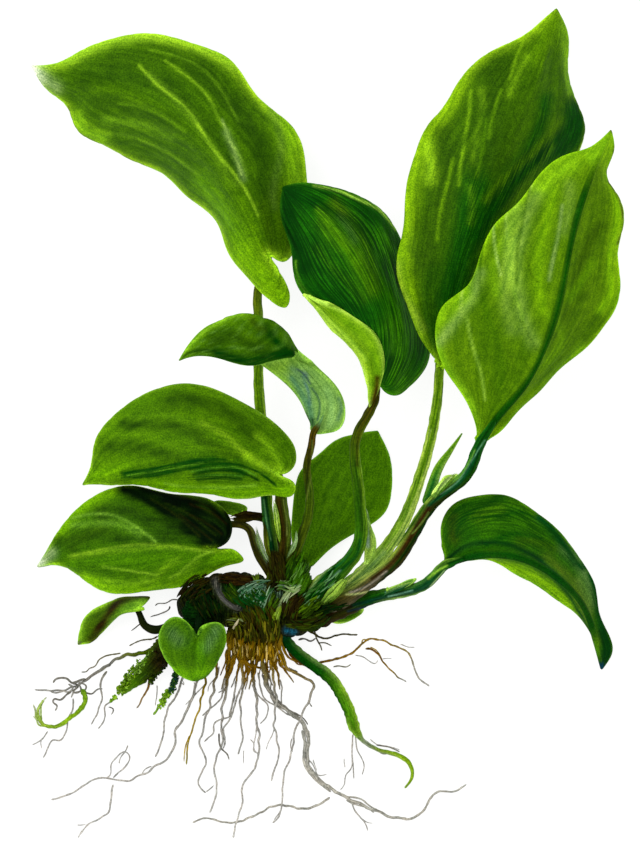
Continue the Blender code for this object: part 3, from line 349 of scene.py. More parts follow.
# Leaves. Each is its midrib from the stalk's end to the tip, and the outline of each half. lobes is the
# share of the left and of the right outline that lies behind the stalk's end, or pins says it row by row:
# (row, share of the left outline, of the midrib, of the right outline). arch lifts the middle of each half,
# and face is 1 where the underside looks up. They are the solids' points, some of them traced again a few
# mm away.
leafShapes = {
    "upper_left_leaf": {
        "midrib": inSpace(-17,50.5,19, -22,62,24, -28,73,28, -36,84,30, -46,93,28, -58,99.5,22, -72,104,15,
            -87.8,107,9),
        "left": inSpace(-14,45.5,18, -10.3,38.5,17, -11.5,34.7,16, -16,36.8,16, -22,41.6,14.5, -28,50,11,
            -33,60,8, -42,69,4.5, -54,77.3,2, -65,82.3,0.8, -73.5,87.8,0.5, -76.5,94,2.5, -82,98.5,6),
        "right": inSpace(-15,49.3,18, -11.5,48.6,16.5, -7,55,14.5, -4.9,66,13, -5.2,76,13.5, -9,87.5,15.5,
            -17,95.5,17, -22.5,101,17.5, -28,108,17.5, -38,113.5,17, -50,116,15.5, -60,116.1,13.5,
            -70,113.2,11.5, -79,108,10),
        "lobes": (0.22, 0.07), "arch": 2.0, "face": -1,
    },
    "middle_leaf": {
        "midrib": inSpace(15.5,13,30, 17.3,24,33, 15.5,35,34.5, 10.5,46,34, 4,56,32, -3,64,29.5,
            -12.5,70.5,27),
        "left": inSpace(13.8,11,29, 12.6,14,29, 9.5,20.5,30, 4.5,26,31, -1,32.5,31, -6,37.5,30.5,
            -8.7,43,29.5, -10.2,51,28, -12.6,60,26.5, -13.2,66,26.5),
        "right": inSpace(17.8,9.6,28, 20.5,8.3,26, 25,10,21, 29,14.5,15, 31,20,11, 30,30,9, 26.5,42,9,
            23,54,11.5, 18,63.5,16.5, 10,67.8,21.5, 0,71,25, -8,71.8,26.5),
        "lobes": (0.03, 0.12), "arch": 1.5, "face": -1,
    },
    "folded_leaf": {
        "midrib": inSpace(-3.3,-3,28, 0.2,6,30, -4.5,13.5,31.3, -11,22,32.6, -19,31.4,36, -24,27.2,40.5,
            -32,23.2,41, -43.5,18.7,39),
        "left": inSpace(-4.8,1,28, -7,6,29, -11,11,30, -16,15.2,30.5, -21,19,31, -26,24,32, -29.3,29,33.5,
            -29.5,31.2,36.5, -34.2,29.3,39, -39.4,25,39.5),
        "right": inSpace(1,-3.2,28, 4.8,-1.5,28, 6.2,4,29, 4,10.5,30, -1,15.6,31, -6,19.4,33, -8.6,21.5,36,
            -8.8,20,38.8, -14,18.6,40.5, -20,17.2,41.5, -26,17.6,41.5, -33,19.5,40.5, -39,19.8,39.5),
        "pins": [(0, 0, 0, 0), (0.12, 0.05, 0, 0.08), (0.46, 0.6, 0.44, 0.47), (0.55, 0.7, 0.6, 0.495),
                 (1, 1, 1, 1)],
        "bulge": (0.55, 0.08, (-0.3, 1.0), (1.1, 1.1)), "arch": -0.4, "face": 1,
    },
    "left_leaf": {
        "midrib": inSpace(-15,-15,25, -22,-12.4,29, -30,-10.8,31, -38,-10.6,31, -46,-12,28.5, -55,-14.2,23,
            -64,-16.4,17.5, -72.5,-18.5,13),
        "left": inSpace(-12,-16.4,24.5, -8.8,-19.3,23.5, -9.8,-21.9,22.5, -15,-22.1,22, -22,-22.3,22,
            -30,-22.2,22, -37,-21.5,21, -46,-20.1,19, -56,-18.9,16.5, -66,-18.2,14.5),
        "right": inSpace(-11.5,-14.8,24, -8.4,-12,22.5, -8.6,-7.4,21.5, -12,-3,21, -19,2.8,20.5, -27,8,20,
            -36,11.1,19.5, -46,11.3,18.5, -55,8.5,17.5, -63,2,16.5, -68.8,-6,15.5, -70.5,-14,14),
        "lobes": (0.15, 0.13), "arch": 2.2, "face": -1,
    },
    "lower_left_leaf": {
        "midrib": inSpace(-35.5,-37.2,16, -43,-37.1,18, -51,-37.8,18, -60,-39,15, -69,-40.2,10, -77,-41.3,5,
            -86.3,-43,0.5),
        "left": inSpace(-31,-38.2,15, -26,-38.8,13.5, -24.1,-41,12.5, -28,-42.9,11.5, -37,-46.6,10,
            -47,-49.8,8.5, -57,-51.3,7.5, -66,-50.1,6, -74,-45.8,4, -80,-42.6,2),
        "right": inSpace(-33,-37.3,15, -28.6,-35.8,13.5, -27.2,-31.4,12.5, -29.4,-26.8,12, -36,-22.6,11.5,
            -46,-20.8,11, -57,-18.9,10.5, -67,-20.8,9.5, -75,-26,7, -80.5,-34,3.5),
        "lobes": (0.2, 0.15), "arch": 1.8, "face": -1,
    },
    "small_left_leaf": {
        "midrib": inSpace(-57,-55.6,7.6, -61,-56.3,8, -66,-58.8,7, -70,-62,4.4, -74,-66.5,0.5),
        "left": inSpace(-54,-55.6,7.2, -58.5,-56.8,6.8, -63,-59.5,5.4, -67,-62.9,3, -71,-65.7,1),
        "right": inSpace(-53.8,-54.3,7, -52.2,-51.9,5.4, -56,-51.7,4.2, -61,-52.3,3, -66,-54.5,2.6,
            -70.5,-56.8,2, -73.3,-60.8,1.2),
        "lobes": (0.12, 0.14), "arch": 0.8, "face": -1,
    },
    "heart_leaf": {
        "midrib": inSpace(-38.2,-63.8,16.5, -38.6,-68,17, -38.8,-72.5,14.5, -39,-77.4,10),
        "left": inSpace(-36.6,-61.5,17.5, -34.2,-59.7,18.3, -31.2,-59.8,18, -29.3,-63,17, -29.6,-67.5,15.5,
            -32,-72.2,13.5, -35.3,-75.8,11.5),
        "right": inSpace(-39.6,-61,17.5, -42,-58.7,18.3, -45.2,-58,18, -48.2,-60,17, -49.7,-64,15.5,
            -48.2,-69,13.5, -45,-73.6,11.5, -42,-76.3,10.5),
        "lobes": (0.28, 0.28), "arch": 1.0, "face": -1,
    },
    "back_leaf": {
        "midrib": inSpace(-5.5,-43.5,5.2, -1,-36,5.4, 4,-26,5.2, 9,-15,4, 13,-7.5,2.2, 16,-2.3,1),
        "left": inSpace(-8.5,-39,4, -9.8,-31,2, -9.4,-22,0.5, -7,-14.4,0.4, -2,-9.7,0.4, 3.5,-4.8,0.4,
            9,-3.2,0.6),
        "right": inSpace(-1.5,-40,4, 5,-35.8,2.2, 12.5,-31.2,0.5, 18.4,-26.5,0.4, 20.6,-18.5,0.4,
            19.6,-10.5,0.4),
        "lobes": (0.04, 0.04), "arch": 0.5, "face": -1,
    },
    "tall_right_leaf": {
        "midrib": inSpace(34.5,17,18, 36.5,30,21.5, 40.5,45,25, 46,62,27.5, 53,80,26, 60.5,98,19, 66,112,12,
            69.5,124.3,7),
        "left": inSpace(32,21,18.5, 27.5,28.5,20.5, 23.6,37,21, 21.8,47,22, 23.2,58,22, 24.3,69,21.5,
            26.5,80,20.5, 31.5,89.5,19, 34.5,93,18.5, 39,101,17.5, 46,108.5,15.5, 54,113.7,13, 61,117,10.5,
            66,121.3,8.5),
        "right": inSpace(41,21,16, 50,30,12.8, 58,42,9.5, 65,54,7, 71,66,4, 75.5,78,1.5, 77.9,88,0.5,
            76.3,94.5,0.4, 74.6,101,0.5, 73,109,1.5, 73,117,4),
        "lobes": (0.03, 0.03), "arch": 2.2, "face": -1,
    },
    "front_right_leaf": {
        "midrib": inSpace(46,-7,30, 52,2.5,34, 60,12,38.5, 66,24,42.5, 70,37,45, 73,52,45, 76.5,66,43,
            81,77.5,39, 85.5,87.5,34),
        "left": inSpace(45,-1.5,30, 42.5,6,31, 37,14,32, 33.2,24,32.5, 35.2,35,33, 43,41.4,34.5,
            46,49.5,35.5, 51.5,60,36, 57,65,36.5, 63,73,36.5, 73,80.4,36, 79,82.4,35.5),
        "right": inSpace(52,-3,29.5, 58,3.5,28.5, 66,11.5,27, 74,18.8,26, 81,25.7,25.5, 86.8,33.5,25.5,
            88,43,26.5, 88.2,51,27.5, 89.2,58,28.5, 87,69,30, 84.6,74.5,31.5, 86.3,81.5,33),
        "lobes": (0.03, 0.03), "arch": -1.0, "face": 1,
    },
    "drooping_leaf": {
        "midrib": inSpace(36,-42.5,22, 42,-40.2,25.5, 49,-39,28, 57,-39.8,28.5, 65,-43.2,26, 72.5,-48.8,20.5,
            78.5,-57,12, 83.2,-74,0.5),
        "left": inSpace(36.1,-39.3,21.8, 35.1,-35.8,21.4, 34.8,-31,21, 38.5,-24.4,20, 46,-21.5,19.5,
            54,-21.5,19, 62,-26,18.5, 70.5,-32.3,17.5, 77,-41.5,15, 80.6,-48,12.5, 83,-58.5,7.5,
            86.2,-69,1.5),
        "right": inSpace(42,-41.2,24.3, 50,-41.6,23.6, 58,-45.4,21.5, 66,-50.6,18, 74,-56.2,12.5,
            79.5,-62.8,6.5, 82,-69,2.5),
        "lobes": (0.04, 0.02), "arch": -0.6, "face": 1,
    },
    "young_leaf": {
        "midrib": inSpace(-24.2,-27.2,9.5, -27,-25.8,8.8, -30,-24.7,7.5, -34,-24.3,5.5),
        "left": inSpace(-26,-27.4,8.6, -30,-27,7, -33,-25.8,5.8),
        "right": inSpace(-23,-25.6,9, -26.5,-23.4,8, -30.5,-23,7, -33,-23.4,5.8),
        "lobes": (0.08, 0.12), "arch": 0.3, "face": -1,
    },
}

sheathShapes = {
    "upper_sheath": {
        "midrib": inSpace(32.5,-22,21, 35,-18.5,21.5, 37.5,-16.6,21.8, 39.8,-15.2,21.8),
        "left": inSpace(33.2,-20.4,20.5, 34.5,-18.2,20.5, 35.8,-15.9,21),
        "right": inSpace(35,-20.6,21.4, 37.6,-18.8,22, 39.4,-17,22),
        "lobes": (0.1, 0.1), "arch": 0.3, "face": -1,
    },
    "lower_sheath": {
        "midrib": inSpace(18.4,-50,16.8, 21.6,-49,17.8, 24.6,-47.8,19, 27.5,-46.4,20),
        "left": inSpace(20.4,-48.7,16.8, 22.7,-47.6,17.6, 25,-46.5,18.8),
        "right": inSpace(21,-50.2,18.4, 24.4,-49.2,20.2, 26.9,-47.8,20.8),
        "lobes": (0.1, 0.1), "arch": 0.3, "face": -1,
    },
    "inner_sheath": {
        "midrib": inSpace(12.2,-42.4,15.4, 13.5,-37.4,17, 13.3,-32.2,18, 11.4,-24.3,19),
        "left": inSpace(11.9,-39.4,15.5, 12.2,-35.2,16.6, 11.7,-29.4,17.8),
        "right": inSpace(14.3,-39.4,15.2, 15,-35.1,16.5, 13.9,-30.2,17.6),
        "lobes": (0.1, 0.1), "arch": 0.6, "face": -1,
    },
    "crown_bud": {
        "midrib": inSpace(1,-58.4,2.2, 5,-58.4,3, 8.5,-57.6,3.5, 11.8,-55.6,3.8),
        "left": inSpace(3.5,-60,1.6, 6.5,-60,2, 9.8,-58.4,2.8),
        "right": inSpace(3.5,-56.8,2.4, 6.5,-56.2,3.2, 9.5,-55.6,3.6),
        "lobes": (0.1, 0.1), "arch": 0.8, "face": -1,
    },
}

# What each blade looks like. rim is a colour and its width on the left and right margin, rib is the
# midrib's colour, width and strength. A stroke is a colour, its half width in mm, its strength and the line
# it follows, and ink is the half width, strength and line of a zone of fine dark strokes. Where one of them
# ends with a pair, it is laid only on these rows of the leaf, from 0 at the stalk to 1 at the tip.
leafPaints = {
    "upper_left_leaf": {
        "base": "#45730A", "rim": ("#8CBE22", 1.3, 2.0),
        "strokes": [
        ("#3A6306", 3.6, 0.7, (110,66, 140,58, 170,60, 196,72)),
        ("#2F5604", 3.6, 0.8, (197,69, 217,90, 238,112, 253,136, 260,162, 264,191)),
        ("#315905", 2.0, 0.75, (169,86, 191,110, 214,134, 228,158, 238,191)),
        ("#2F5704", 3.4, 0.7, (86,80, 114,77, 140,80, 166,84)),
        ("#325A06", 2.6, 0.6, (99,103, 129,108, 154,117, 173,125)),
        ("#3C680A", 3.2, 0.55, (114,140, 140,143, 166,147, 182,158, 190,177, 193,191)),
        ("#5E960E", 3.2, 0.75, (203,182, 217,201, 232,225, 245,247)),
        ("#74AC18", 3.4, 0.9, (278,106, 288,132, 294,158, 295,184)),
        ("#72AA14", 4.0, 0.9, (243,258, 258,273, 273,288, 282,299)),
        ("#6E9E22", 1.2, 0.34, (150,76, 175,100, 200,130, 218,158, 236,186)),
        ("#80B024", 0.45, 0.8, (140,67, 160,88, 187,111, 202,132, 216,153, 241,184, 258,216)),
        ("#6E9E1E", 0.45, 0.75, (166,62, 185,76, 206,96, 222,127, 234,148, 247,176)),
        ("#5C8C1A", 0.4, 0.6, (150,52, 180,58, 205,72, 224,96, 238,124)),
        # the next two grey-green streaks are painted highlights, the sheen on the waxy blade
        ("#7C9C58", 1.05, 0.41, (226,134, 233,150, 239,166, 243,180)),
        ("#86AA50", 0.4, 0.7, (222,122, 229,140, 236,158, 241,176)),
        ("#5E8430", 1.35, 0.34, (272,112, 279,130, 281,152, 277,172, 273,190, 274,208)),
        ("#6CA01E", 1.35, 0.48, (104,120, 125,122, 150,128, 172,138)),
        ("#5E9016", 0.5, 0.7, (120,104, 142,108, 162,116, 186,132)),
        ("#64961A", 0.5, 0.6, (110,132, 140,140, 170,154, 200,176)),
        ("#5C8E12", 1.35, 0.34, (95,88, 121,93, 143,106)),
        ("#639812", 1.2, 0.34, (227,180, 243,201, 254,225, 260,247)),
        ("#3A5E12", 1.8, 0.6, (264,206, 269,228, 275,247)),
        ("#7FB81E", 2.2, 0.7, (79,117, 86,130, 103,138)),
        ("#8FC42A", 1.95, 0.48, (69,60, 103,45, 136,38, 182,42, 212,53, 232,66)),
        ("#4A5A1A", 0.35, 0.8, (69,106, 79,129, 103,147, 147,167, 162,180)),
        ("#86A85C", 2.2, 0.85, (43,79, 55,88)), ("#B8CCA0", 2.2, 0.9, (32,68, 39,78)),
        ("#E0E8D8", 1.4, 0.9, (29,65, 34,72))]},
    "tall_right_leaf": {
        "base": "#406C09", "rim": ("#84B41C", 2.2, 0.8),
        "ink": [(5.4, 0.75, (478,186, 472,215, 463,255, 451,300, 440,340)),
                (2.0, 0.7, (492,190, 484,215, 472,240)), (1.8, 0.7, (545,100, 538,130, 524,155, 508,175)),
                (3.6, 1, (573,108, 572,132, 554,148, 530,165, 508,186, 490,212, 476,236))],
        "strokes": [
        ("#7AAC16", 3.2, 0.85, (459,78, 445,105, 430,135, 415,160, 409,189, 403,223, 401,263, 409,299)),
        ("#335A06", 6.4, 0.85, (500,76, 492,110, 490,140, 492,170)),
        ("#355C07", 3.6, 0.8, (443,135, 447,168, 441,202, 430,236, 424,269)),
        ("#1E5A0E", 4.2, 0.85, (480,192, 474,212, 466,236, 458,262, 447,296)),
        ("#14500F", 2.8, 0.9, (574,112, 570,128, 556,144, 540,156)),
        ("#23600F", 4.0, 0.9, (472,185, 470,220, 462,260, 451,300, 440,340)),
        ("#1E5E10", 2.2, 0.8, (466,200, 462,240, 452,280, 441,325)),
        ("#23600F", 2.2, 0.8, (545,100, 538,130, 524,155, 508,175)),
        ("#1A5A12", 2.6, 0.95, (572,112, 573,135, 556,150, 530,167, 508,188, 490,212, 476,236)),
        ("#14500F", 1.6, 0.9, (577,120, 578,140, 562,153)),
        ("#4E7A0E", 1.5, 0.75, (556,122, 543,143, 524,160, 503,180, 486,200)),
        ("#5A8A10", 2.6, 0.7, (556,17, 546,38, 535,59)),
        ("#6FA41C", 1.6, 0.7, (563,27, 565,55, 569,80, 571,93)),
        ("#6FA01A", 1.35, 0.51, (527,57, 516,76, 508,97)),
        ("#6C9C1A", 1.2, 0.48, (481,91, 481,118, 476,143, 474,164)),
        ("#5C8E16", 1.2, 0.41, (470,189, 471,202, 470,223)),
        ("#5C8C14", 1.35, 0.41, (508,211, 521,189, 537,168, 550,147)),
        ("#86B81E", 1.8, 0.7, (428,147, 430,164, 430,181)),
        ("#8FB436", 1.35, 0.48, (398,265, 403,295, 415,316, 422,328)),
        ("#2A5A0C", 2.6, 0.7, (434,272, 426,296, 430,322)),
        ("#35600A", 2.2, 0.7, (483,116, 480,150, 474,176)),
        ("#6A9A18", 0.5, 0.8, (470,92, 468,120, 462,152, 458,186)),
        ("#5E8E14", 0.5, 0.75, (452,160, 447,184, 440,212, 437,240)),
        ("#6A9A18", 0.5, 0.75, (524,38, 516,58, 509,80)),
        ("#4E7E12", 0.45, 0.75, (486,120, 482,150, 476,178)),
        ("#5A8A14", 0.5, 0.7, (500,92, 492,118, 488,140))]},
    "front_right_leaf": {
        "base": "#547F14", "rim": ("#7CB018", 1.4, 1.8), "rib": ("#164A0E", 0.62, 1),
        "strokes": [
        ("#45720C", 3.6, 0.75, (479,281, 485,316, 494,352, 499,388, 494,417)),
        ("#426E0E", 2.2, 0.6, (519,321, 523,354, 514,379)),
        # the next five grey-green streaks are painted highlights on the blade
        ("#82A848", 1.95, 0.41, (537,194, 525,218, 519,241, 514,265, 518,294, 523,321, 532,343)),
        ("#7AA03E", 1.95, 0.41, (512,245, 505,274, 505,303, 512,330)),
        ("#7C9C50", 0.5, 0.7, (561,207, 557,236, 551,263, 548,281)),
        ("#7EA44A", 1.6, 0.6, (479,274, 470,299, 458,316, 445,334, 438,343)),
        ("#7A9E3E", 1.8, 0.34, (568,187, 568,209, 563,232)),
        ("#72A814", 1.95, 0.54, (552,194, 546,220, 539,249, 537,276, 541,310)),
        ("#6FA416", 1.8, 0.48, (501,241, 492,267, 496,294)),
        ("#7AB01A", 3.0, 0.85, (541,187, 568,167, 590,158, 604,145)),
        ("#74AA18", 2.4, 0.8, (450,296, 463,292, 438,321)),
        ("#78B015", 1.6, 0.85, (615,200, 615,220, 611,245, 608,272, 607,299, 599,312)),
        ("#3D6208", 1.7, 0.8, (597,227, 586,245, 579,265, 572,285)),
        ("#44700C", 2.6, 0.75, (599,321, 579,343, 559,368, 537,395, 514,421)),
        ("#3B600A", 1.4, 0.5, (581,294, 563,314, 554,334)),
        ("#5F9412", 1.6, 0.6, (590,265, 577,285, 568,299)),
        ("#6AA016", 1.5, 0.41, (550,316, 559,339, 541,366)),
        ("#76B020", 1.5, 0.48, (438,352, 452,377, 471,408, 476,432)),
        ("#7AB41C", 1.65, 0.48, (581,348, 559,374, 532,406, 499,437, 485,448)),
        ("#5A8412", 1.6, 0.5, (581,162, 586,174, 588,187)),
        ("#4C5A1E", 0.4, 0.85, (604,133, 610,133, 612,151, 606,174)),
        ("#4F5E22", 0.4, 0.8, (607,182, 615,198, 620,218, 621,232, 617,245)),
        ("#3F640E", 0.22, 0.8, (537,283, 530,274, 527,263, 523,254)),
        ("#8FB452", 0.35, 0.8, (508,172, 498,198, 493,224, 494,250, 500,276)),
        ("#8AB04A", 0.3, 0.8, (520,160, 512,186, 506,214, 506,240)),
        ("#86AC44", 0.3, 0.7, (536,156, 530,186, 524,216, 520,246)),
        ("#82B034", 2.2, 0.7, (514,210, 509,250, 512,284)),
        ("#42700E", 0.5, 0.7, (486,228, 480,258, 480,290, 486,320)),
        ("#44700C", 0.5, 0.7, (528,190, 522,222, 516,256, 516,286)),
        ("#8CB048", 0.4, 0.7, (478,236, 470,262, 462,290, 460,316)),
        ("#86B038", 0.4, 0.7, (466,318, 472,346, 480,372, 484,400)),
        ("#42700E", 0.6, 0.7, (484,300, 492,330, 500,356, 500,384)),
        ("#7CAA2E", 0.4, 0.7, (512,290, 520,312, 524,330)),
        ("#41660E", 0.22, 0.8, (535,350, 527,335, 521,321)),
        ("#41660E", 0.22, 0.7, (517,372, 509,357, 502,340)), ("#41660E", 0.2, 0.6, (495,395, 489,381))]},
    "middle_leaf": {
        "base": "#206410", "rim": ("#3E7E14", 0.5, 0.7),
        "ink": [(9, 0.9, (299,202, 314,253, 358,312, 395,371)),
                (9, 0.9, (329,198, 373,239, 396,297, 409,341))],
        "strokes": [
        ("#0A3E0C", 3.6, 0.9, (289,193, 288,212, 292,233, 299,253, 304,268)),
        ("#124A0C", 2.4, 0.8, (296,196, 316,206, 334,216)),
        ("#0C470F", 2.8, 0.6, (314,291, 332,300, 352,309, 370,321)),
        ("#457A10", 2.8, 0.85, (326,224, 336,239, 348,250, 361,271, 370,291)),
        ("#44720E", 2.4, 0.7, (335,206, 352,224, 364,245, 371,268, 376,286)),
        ("#366A0C", 1.8, 0.6, (318,250, 333,268, 349,283, 361,300)),
        ("#5A9616", 1.05, 0.54, (318,211, 329,223, 336,231, 349,246, 358,256)),
        ("#4A7034", 1.35, 0.41, (340,218, 349,231, 354,242)), ("#465A0C", 1.5, 0.34, (335,202, 343,215)),
        ("#145410", 2.8, 0.4, (346,198, 364,209, 381,227, 392,247, 396,271)),
        ("#3A8012", 3.6, 0.9, (384,239, 390,262, 395,291, 401,312, 409,336)),
        ("#3C7C12", 3.8, 0.9, (393,327, 398,356, 399,382)),
        ("#2A6A12", 1.5, 0.34, (401,336, 405,350, 402,365)),
        ("#8DBE42", 0.45, 0.8, (314,187, 335,192, 361,202, 379,210, 387,218, 395,230)),
        ("#5C9E22", 0.83, 0.48, (428,355, 423,369, 411,385, 396,394)),
        ("#5C9A22", 0.4, 0.6, (296,262, 298,277, 305,291, 317,302))]},
    "folded_leaf": {
        "base": "#7CAC50", "rim": ("#84B844", 1.0, 1.0),
        "ink": [(1.8, 0.9, (219,354, 234,359, 248,362, 262,360, 278,356, 294,357), (0.49, 1))],
        "strokes": [
        ("#47780A", 99, 1, (239,339, 250,339), (0.49, 1)),
        ("#6CA418", 1.6, 0.8, (185,354, 195,341, 210,328, 225,320, 241,316, 253,318), (0.49, 1)),
        ("#345C08", 2.6, 0.85, (216,342, 234,338, 250,343, 264,349), (0.49, 1)),
        ("#4F7E12", 1.2, 0.6, (234,325, 243,333, 255,339), (0.49, 1)),
        ("#0C4410", 1.7, 0.9, (219,354, 234,359, 248,362, 262,360, 278,356, 294,357), (0.49, 1)),
        ("#124A0C", 1.6, 0.85, (266,331, 277,343, 286,351, 295,357), (0.49, 1)),
        ("#3E5E0C", 1.3, 0.7, (253,321, 257,327, 264,331), (0.49, 1)),
        ("#24500A", 0.5, 0.8, (179,361, 185,356, 199,351, 216,351), (0.49, 1)),
        ("#8CC62C", 0.5, 0.8, (180,359, 187,350, 198,338, 214,326, 230,318, 243,315), (0.49, 1)),
        ("#8CC23A", 2.4, 0.9, (264,369, 277,368, 294,365), (0, 0.485)),
        ("#86BE3C", 1.4, 0.7, (280,378, 289,385, 296,395), (0, 0.485)),
        ("#6A9C5C", 1.8, 0.8, (294,369, 302,383, 308,399, 311,415), (0, 0.485)),
        ("#528A5E", 1.0, 0.8, (292,378, 302,395, 309,408, 312,424), (0, 0.485)),
        ("#4C6E6A", 0.4, 0.8, (297,369, 305,374, 310,383), (0, 0.485)),
        ("#3C6650", 0.35, 0.8, (312,388, 318,397, 320,408, 318,420), (0, 0.485)),
        ("#4F7C74", 0.5, 0.7, (303,376, 308,390, 310,404), (0, 0.485)),
        ("#86B862", 1.4, 0.7, (326,392, 331,408, 331,422), (0, 0.485)),
        ("#5E8C66", 0.7, 0.6, (339,399, 341,408, 338,419), (0, 0.485)),
        ("#5C8A2A", 0.5, 0.8, (300,361, 315,367, 328,376, 339,390, 344,404), (0, 0.485)),
        ("#24482C", 0.4, 0.9, (285,384, 295,396, 303,408, 308,420, 309,430), (0, 0.485)),
        ("#2F5A2A", 0.8, 0.7, (313,420, 313,431), (0, 0.2))]},
    "left_leaf": {
        "base": "#4C7C0C", "rim": ("#7DAC24", 0.7, 0.8),
        "ink": [(1.5, 0.8, (126,474, 151,472, 175,468, 195,462, 213,461, 237,468)),
                (1.2, 0.7, (194,478, 216,477, 237,477))],
        "strokes": [
        ("#588C0E", 2.2, 0.7, (99,447, 121,415, 151,396, 185,390, 213,394, 250,409)),
        ("#2F5505", 2.6, 0.8, (171,401, 195,401, 219,409, 240,423, 254,437)),
        ("#2F5505", 2.0, 0.75, (126,425, 151,425, 178,427, 199,434)),
        ("#315806", 2.2, 0.7, (107,447, 133,446, 154,451, 178,458)),
        ("#345A08", 1.8, 0.6, (202,440, 223,451, 240,458)),
        ("#5A8C16", 1.05, 0.44, (130,418, 161,416, 185,420, 199,425)),
        ("#5A8C14", 1.05, 0.44, (120,435, 151,437, 178,449)),
        ("#7DAA20", 0.98, 0.54, (202,423, 223,434, 238,447, 254,459, 271,470)),
        ("#84B81C", 1.4, 0.8, (247,458, 262,468, 276,471)),
        ("#74A81A", 1.35, 0.51, (257,437, 269,447, 278,461, 280,471)),
        ("#4A7C0C", 2.2, 0.6, (278,430, 288,444, 288,461)),
        ("#66A010", 2.2, 0.75, (95,477, 111,471, 126,468)),
        ("#6AA610", 2.3, 0.9, (137,485, 168,485, 195,490, 228,494, 262,492, 288,492)),
        ("#5C8E0E", 1.8, 0.41, (175,471, 185,477, 195,478)),
        ("#104E12", 1.3, 0.85, (126,474, 151,472, 175,468, 195,462, 213,460)),
        ("#145010", 1.3, 0.8, (199,471, 216,466, 233,468, 244,473)),
        ("#28600E", 1.0, 0.6, (237,461, 254,466, 268,475)),
        ("#A8D050", 0.4, 0.7, (126,489, 151,492, 178,496, 202,498, 237,498, 271,496)),
        ("#0C4A12", 0.36, 0.9, (122,473, 150,469, 180,463, 205,459, 226,459)),
        ("#0E4E12", 0.3, 0.85, (135,477, 160,474, 185,469, 205,466)),
        ("#5A9420", 0.26, 0.8, (128,475, 155,471, 182,466, 204,462)),
        ("#0C4A12", 0.36, 0.95, (190,468, 215,463, 240,465, 260,473, 276,485)),
        ("#0A4410", 0.4, 0.95, (194,474, 220,470, 242,472, 258,479)),
        ("#0A4410", 0.4, 0.95, (198,480, 222,477, 242,478)),
        ("#4E8A22", 0.24, 0.85, (192,471, 216,467, 240,468, 256,475)),
        ("#3E7A1E", 0.24, 0.85, (196,477, 220,474, 242,475)),
        ("#74AA26", 0.45, 0.8, (166,482, 196,487, 228,487, 256,484)),
        ("#7CAE28", 0.35, 0.7, (262,462, 270,470, 280,474, 290,474))]},
    "lower_left_leaf": {
        "base": "#42740A", "rim": ("#80B41C", 0.9, 0.9),
        "strokes": [
        ("#2F5606", 2.8, 0.85, (61,542, 87,535, 116,537, 151,540, 178,539)),
        ("#2C5006", 3.0, 0.85, (102,513, 126,511, 151,521, 168,530)),
        ("#365C06", 2.0, 0.75, (74,546, 88,534, 108,528)),
        ("#487E0A", 2.6, 0.7, (73,566, 102,564, 137,561, 171,558, 202,561)),
        ("#3C6A08", 1.5, 0.6, (82,564, 109,570, 137,571)),
        ("#3F6E0A", 1.8, 0.5, (195,564, 209,563, 216,558)),
        ("#72AC12", 1.7, 0.8, (63,530, 78,511, 95,499, 111,494)),
        ("#7DBB16", 1.95, 0.58, (87,578, 106,586, 126,590, 154,588, 185,583, 209,576)),
        ("#64A010", 2.0, 0.7, (216,558, 230,556, 238,558)),
        ("#6FA01E", 0.83, 0.54, (71,557, 104,552, 140,548, 176,547, 199,550)),
        ("#64962A", 1.05, 0.48, (73,525, 104,523, 126,526, 140,535)),
        ("#74A81C", 1.2, 0.48, (147,580, 161,571, 168,564, 178,559)),
        ("#6C9E1C", 1.05, 0.41, (175,575, 188,570, 197,561)),
        ("#78AE20", 1.05, 0.41, (106,580, 126,583, 147,580)),
        # painted shadow: the near-black patch where the left leaf's lower edge overhangs this blade, over
        # its darker fold, with fine dark lines in it
        ("#0E2208", 2.4, 1, (126,488, 150,492, 175,499, 200,507, 224,517)),
        ("#14260A", 2.6, 1, (136,493, 158,505, 176,518, 192,532, 208,542)),
        ("#0E2008", 3.6, 1, (168,500, 188,512, 206,524, 222,531)),
        ("#12220A", 2.4, 1, (192,520, 206,533, 221,541)), ("#0E2008", 2.0, 1, (228,515, 230,530, 224,542)),
        ("#26260C", 0.28, 0.7, (160,491, 180,496, 200,504, 215,512)),
        ("#2A2A0E", 0.28, 0.7, (180,514, 195,526, 212,540)),
        ("#2E440E", 0.28, 0.7, (165,503, 185,512, 203,525, 216,535)),
        ("#33300E", 0.26, 0.7, (190,515, 208,524, 222,534)),
        ("#33260C", 0.28, 0.7, (190,505, 210,513, 226,524)),
        ("#2E3A0E", 0.28, 0.7, (150,498, 168,509, 186,523, 200,536)),
        ("#26280C", 0.4, 0.8, (116,487, 145,488, 165,490)),
        ("#76A024", 0.4, 0.6, (72,555, 95,551, 125,546, 160,545, 196,549, 214,552)),
        ("#6FA030", 0.45, 0.7, (72,518, 92,514, 112,515, 134,525, 156,541)),
        ("#7AAA26", 0.4, 0.7, (170,577, 184,568, 196,558, 212,551)),
        ("#7AAA26", 0.4, 0.6, (104,566, 134,570, 158,574)), ("#7E9A62", 1.6, 0.85, (45,559, 52,553)),
        ("#B4C4A4", 1.4, 0.9, (37,564, 41,562))]},
    "small_left_leaf": {
        "base": "#446E0C", "rim": ("#86B82A", 0.6, 0.7),
        "strokes": [
        ("#33290A", 1.5, 0.95, (150,596, 132,597, 118,603, 110,613, 100,626, 92,639)),
        ("#3E5A0C", 1.0, 0.6, (99,613, 90,627)),
        ("#6FA82E", 1.65, 0.61, (143,603, 131,608, 121,616, 114,623)),
        ("#7FB42A", 1.2, 0.54, (80,636, 82,620, 92,609, 103,603)), ("#5F6A44", 0.5, 0.8, (78,644, 80,642))]},
    "heart_leaf": {
        "base": "#44740F", "rim": ("#6FA62C", 0.45, 0.5),
        "ink": [(2.4, 0.6, (173,633, 179,641)), (2.0, 0.5, (216,627, 208,644))],
        "strokes": [
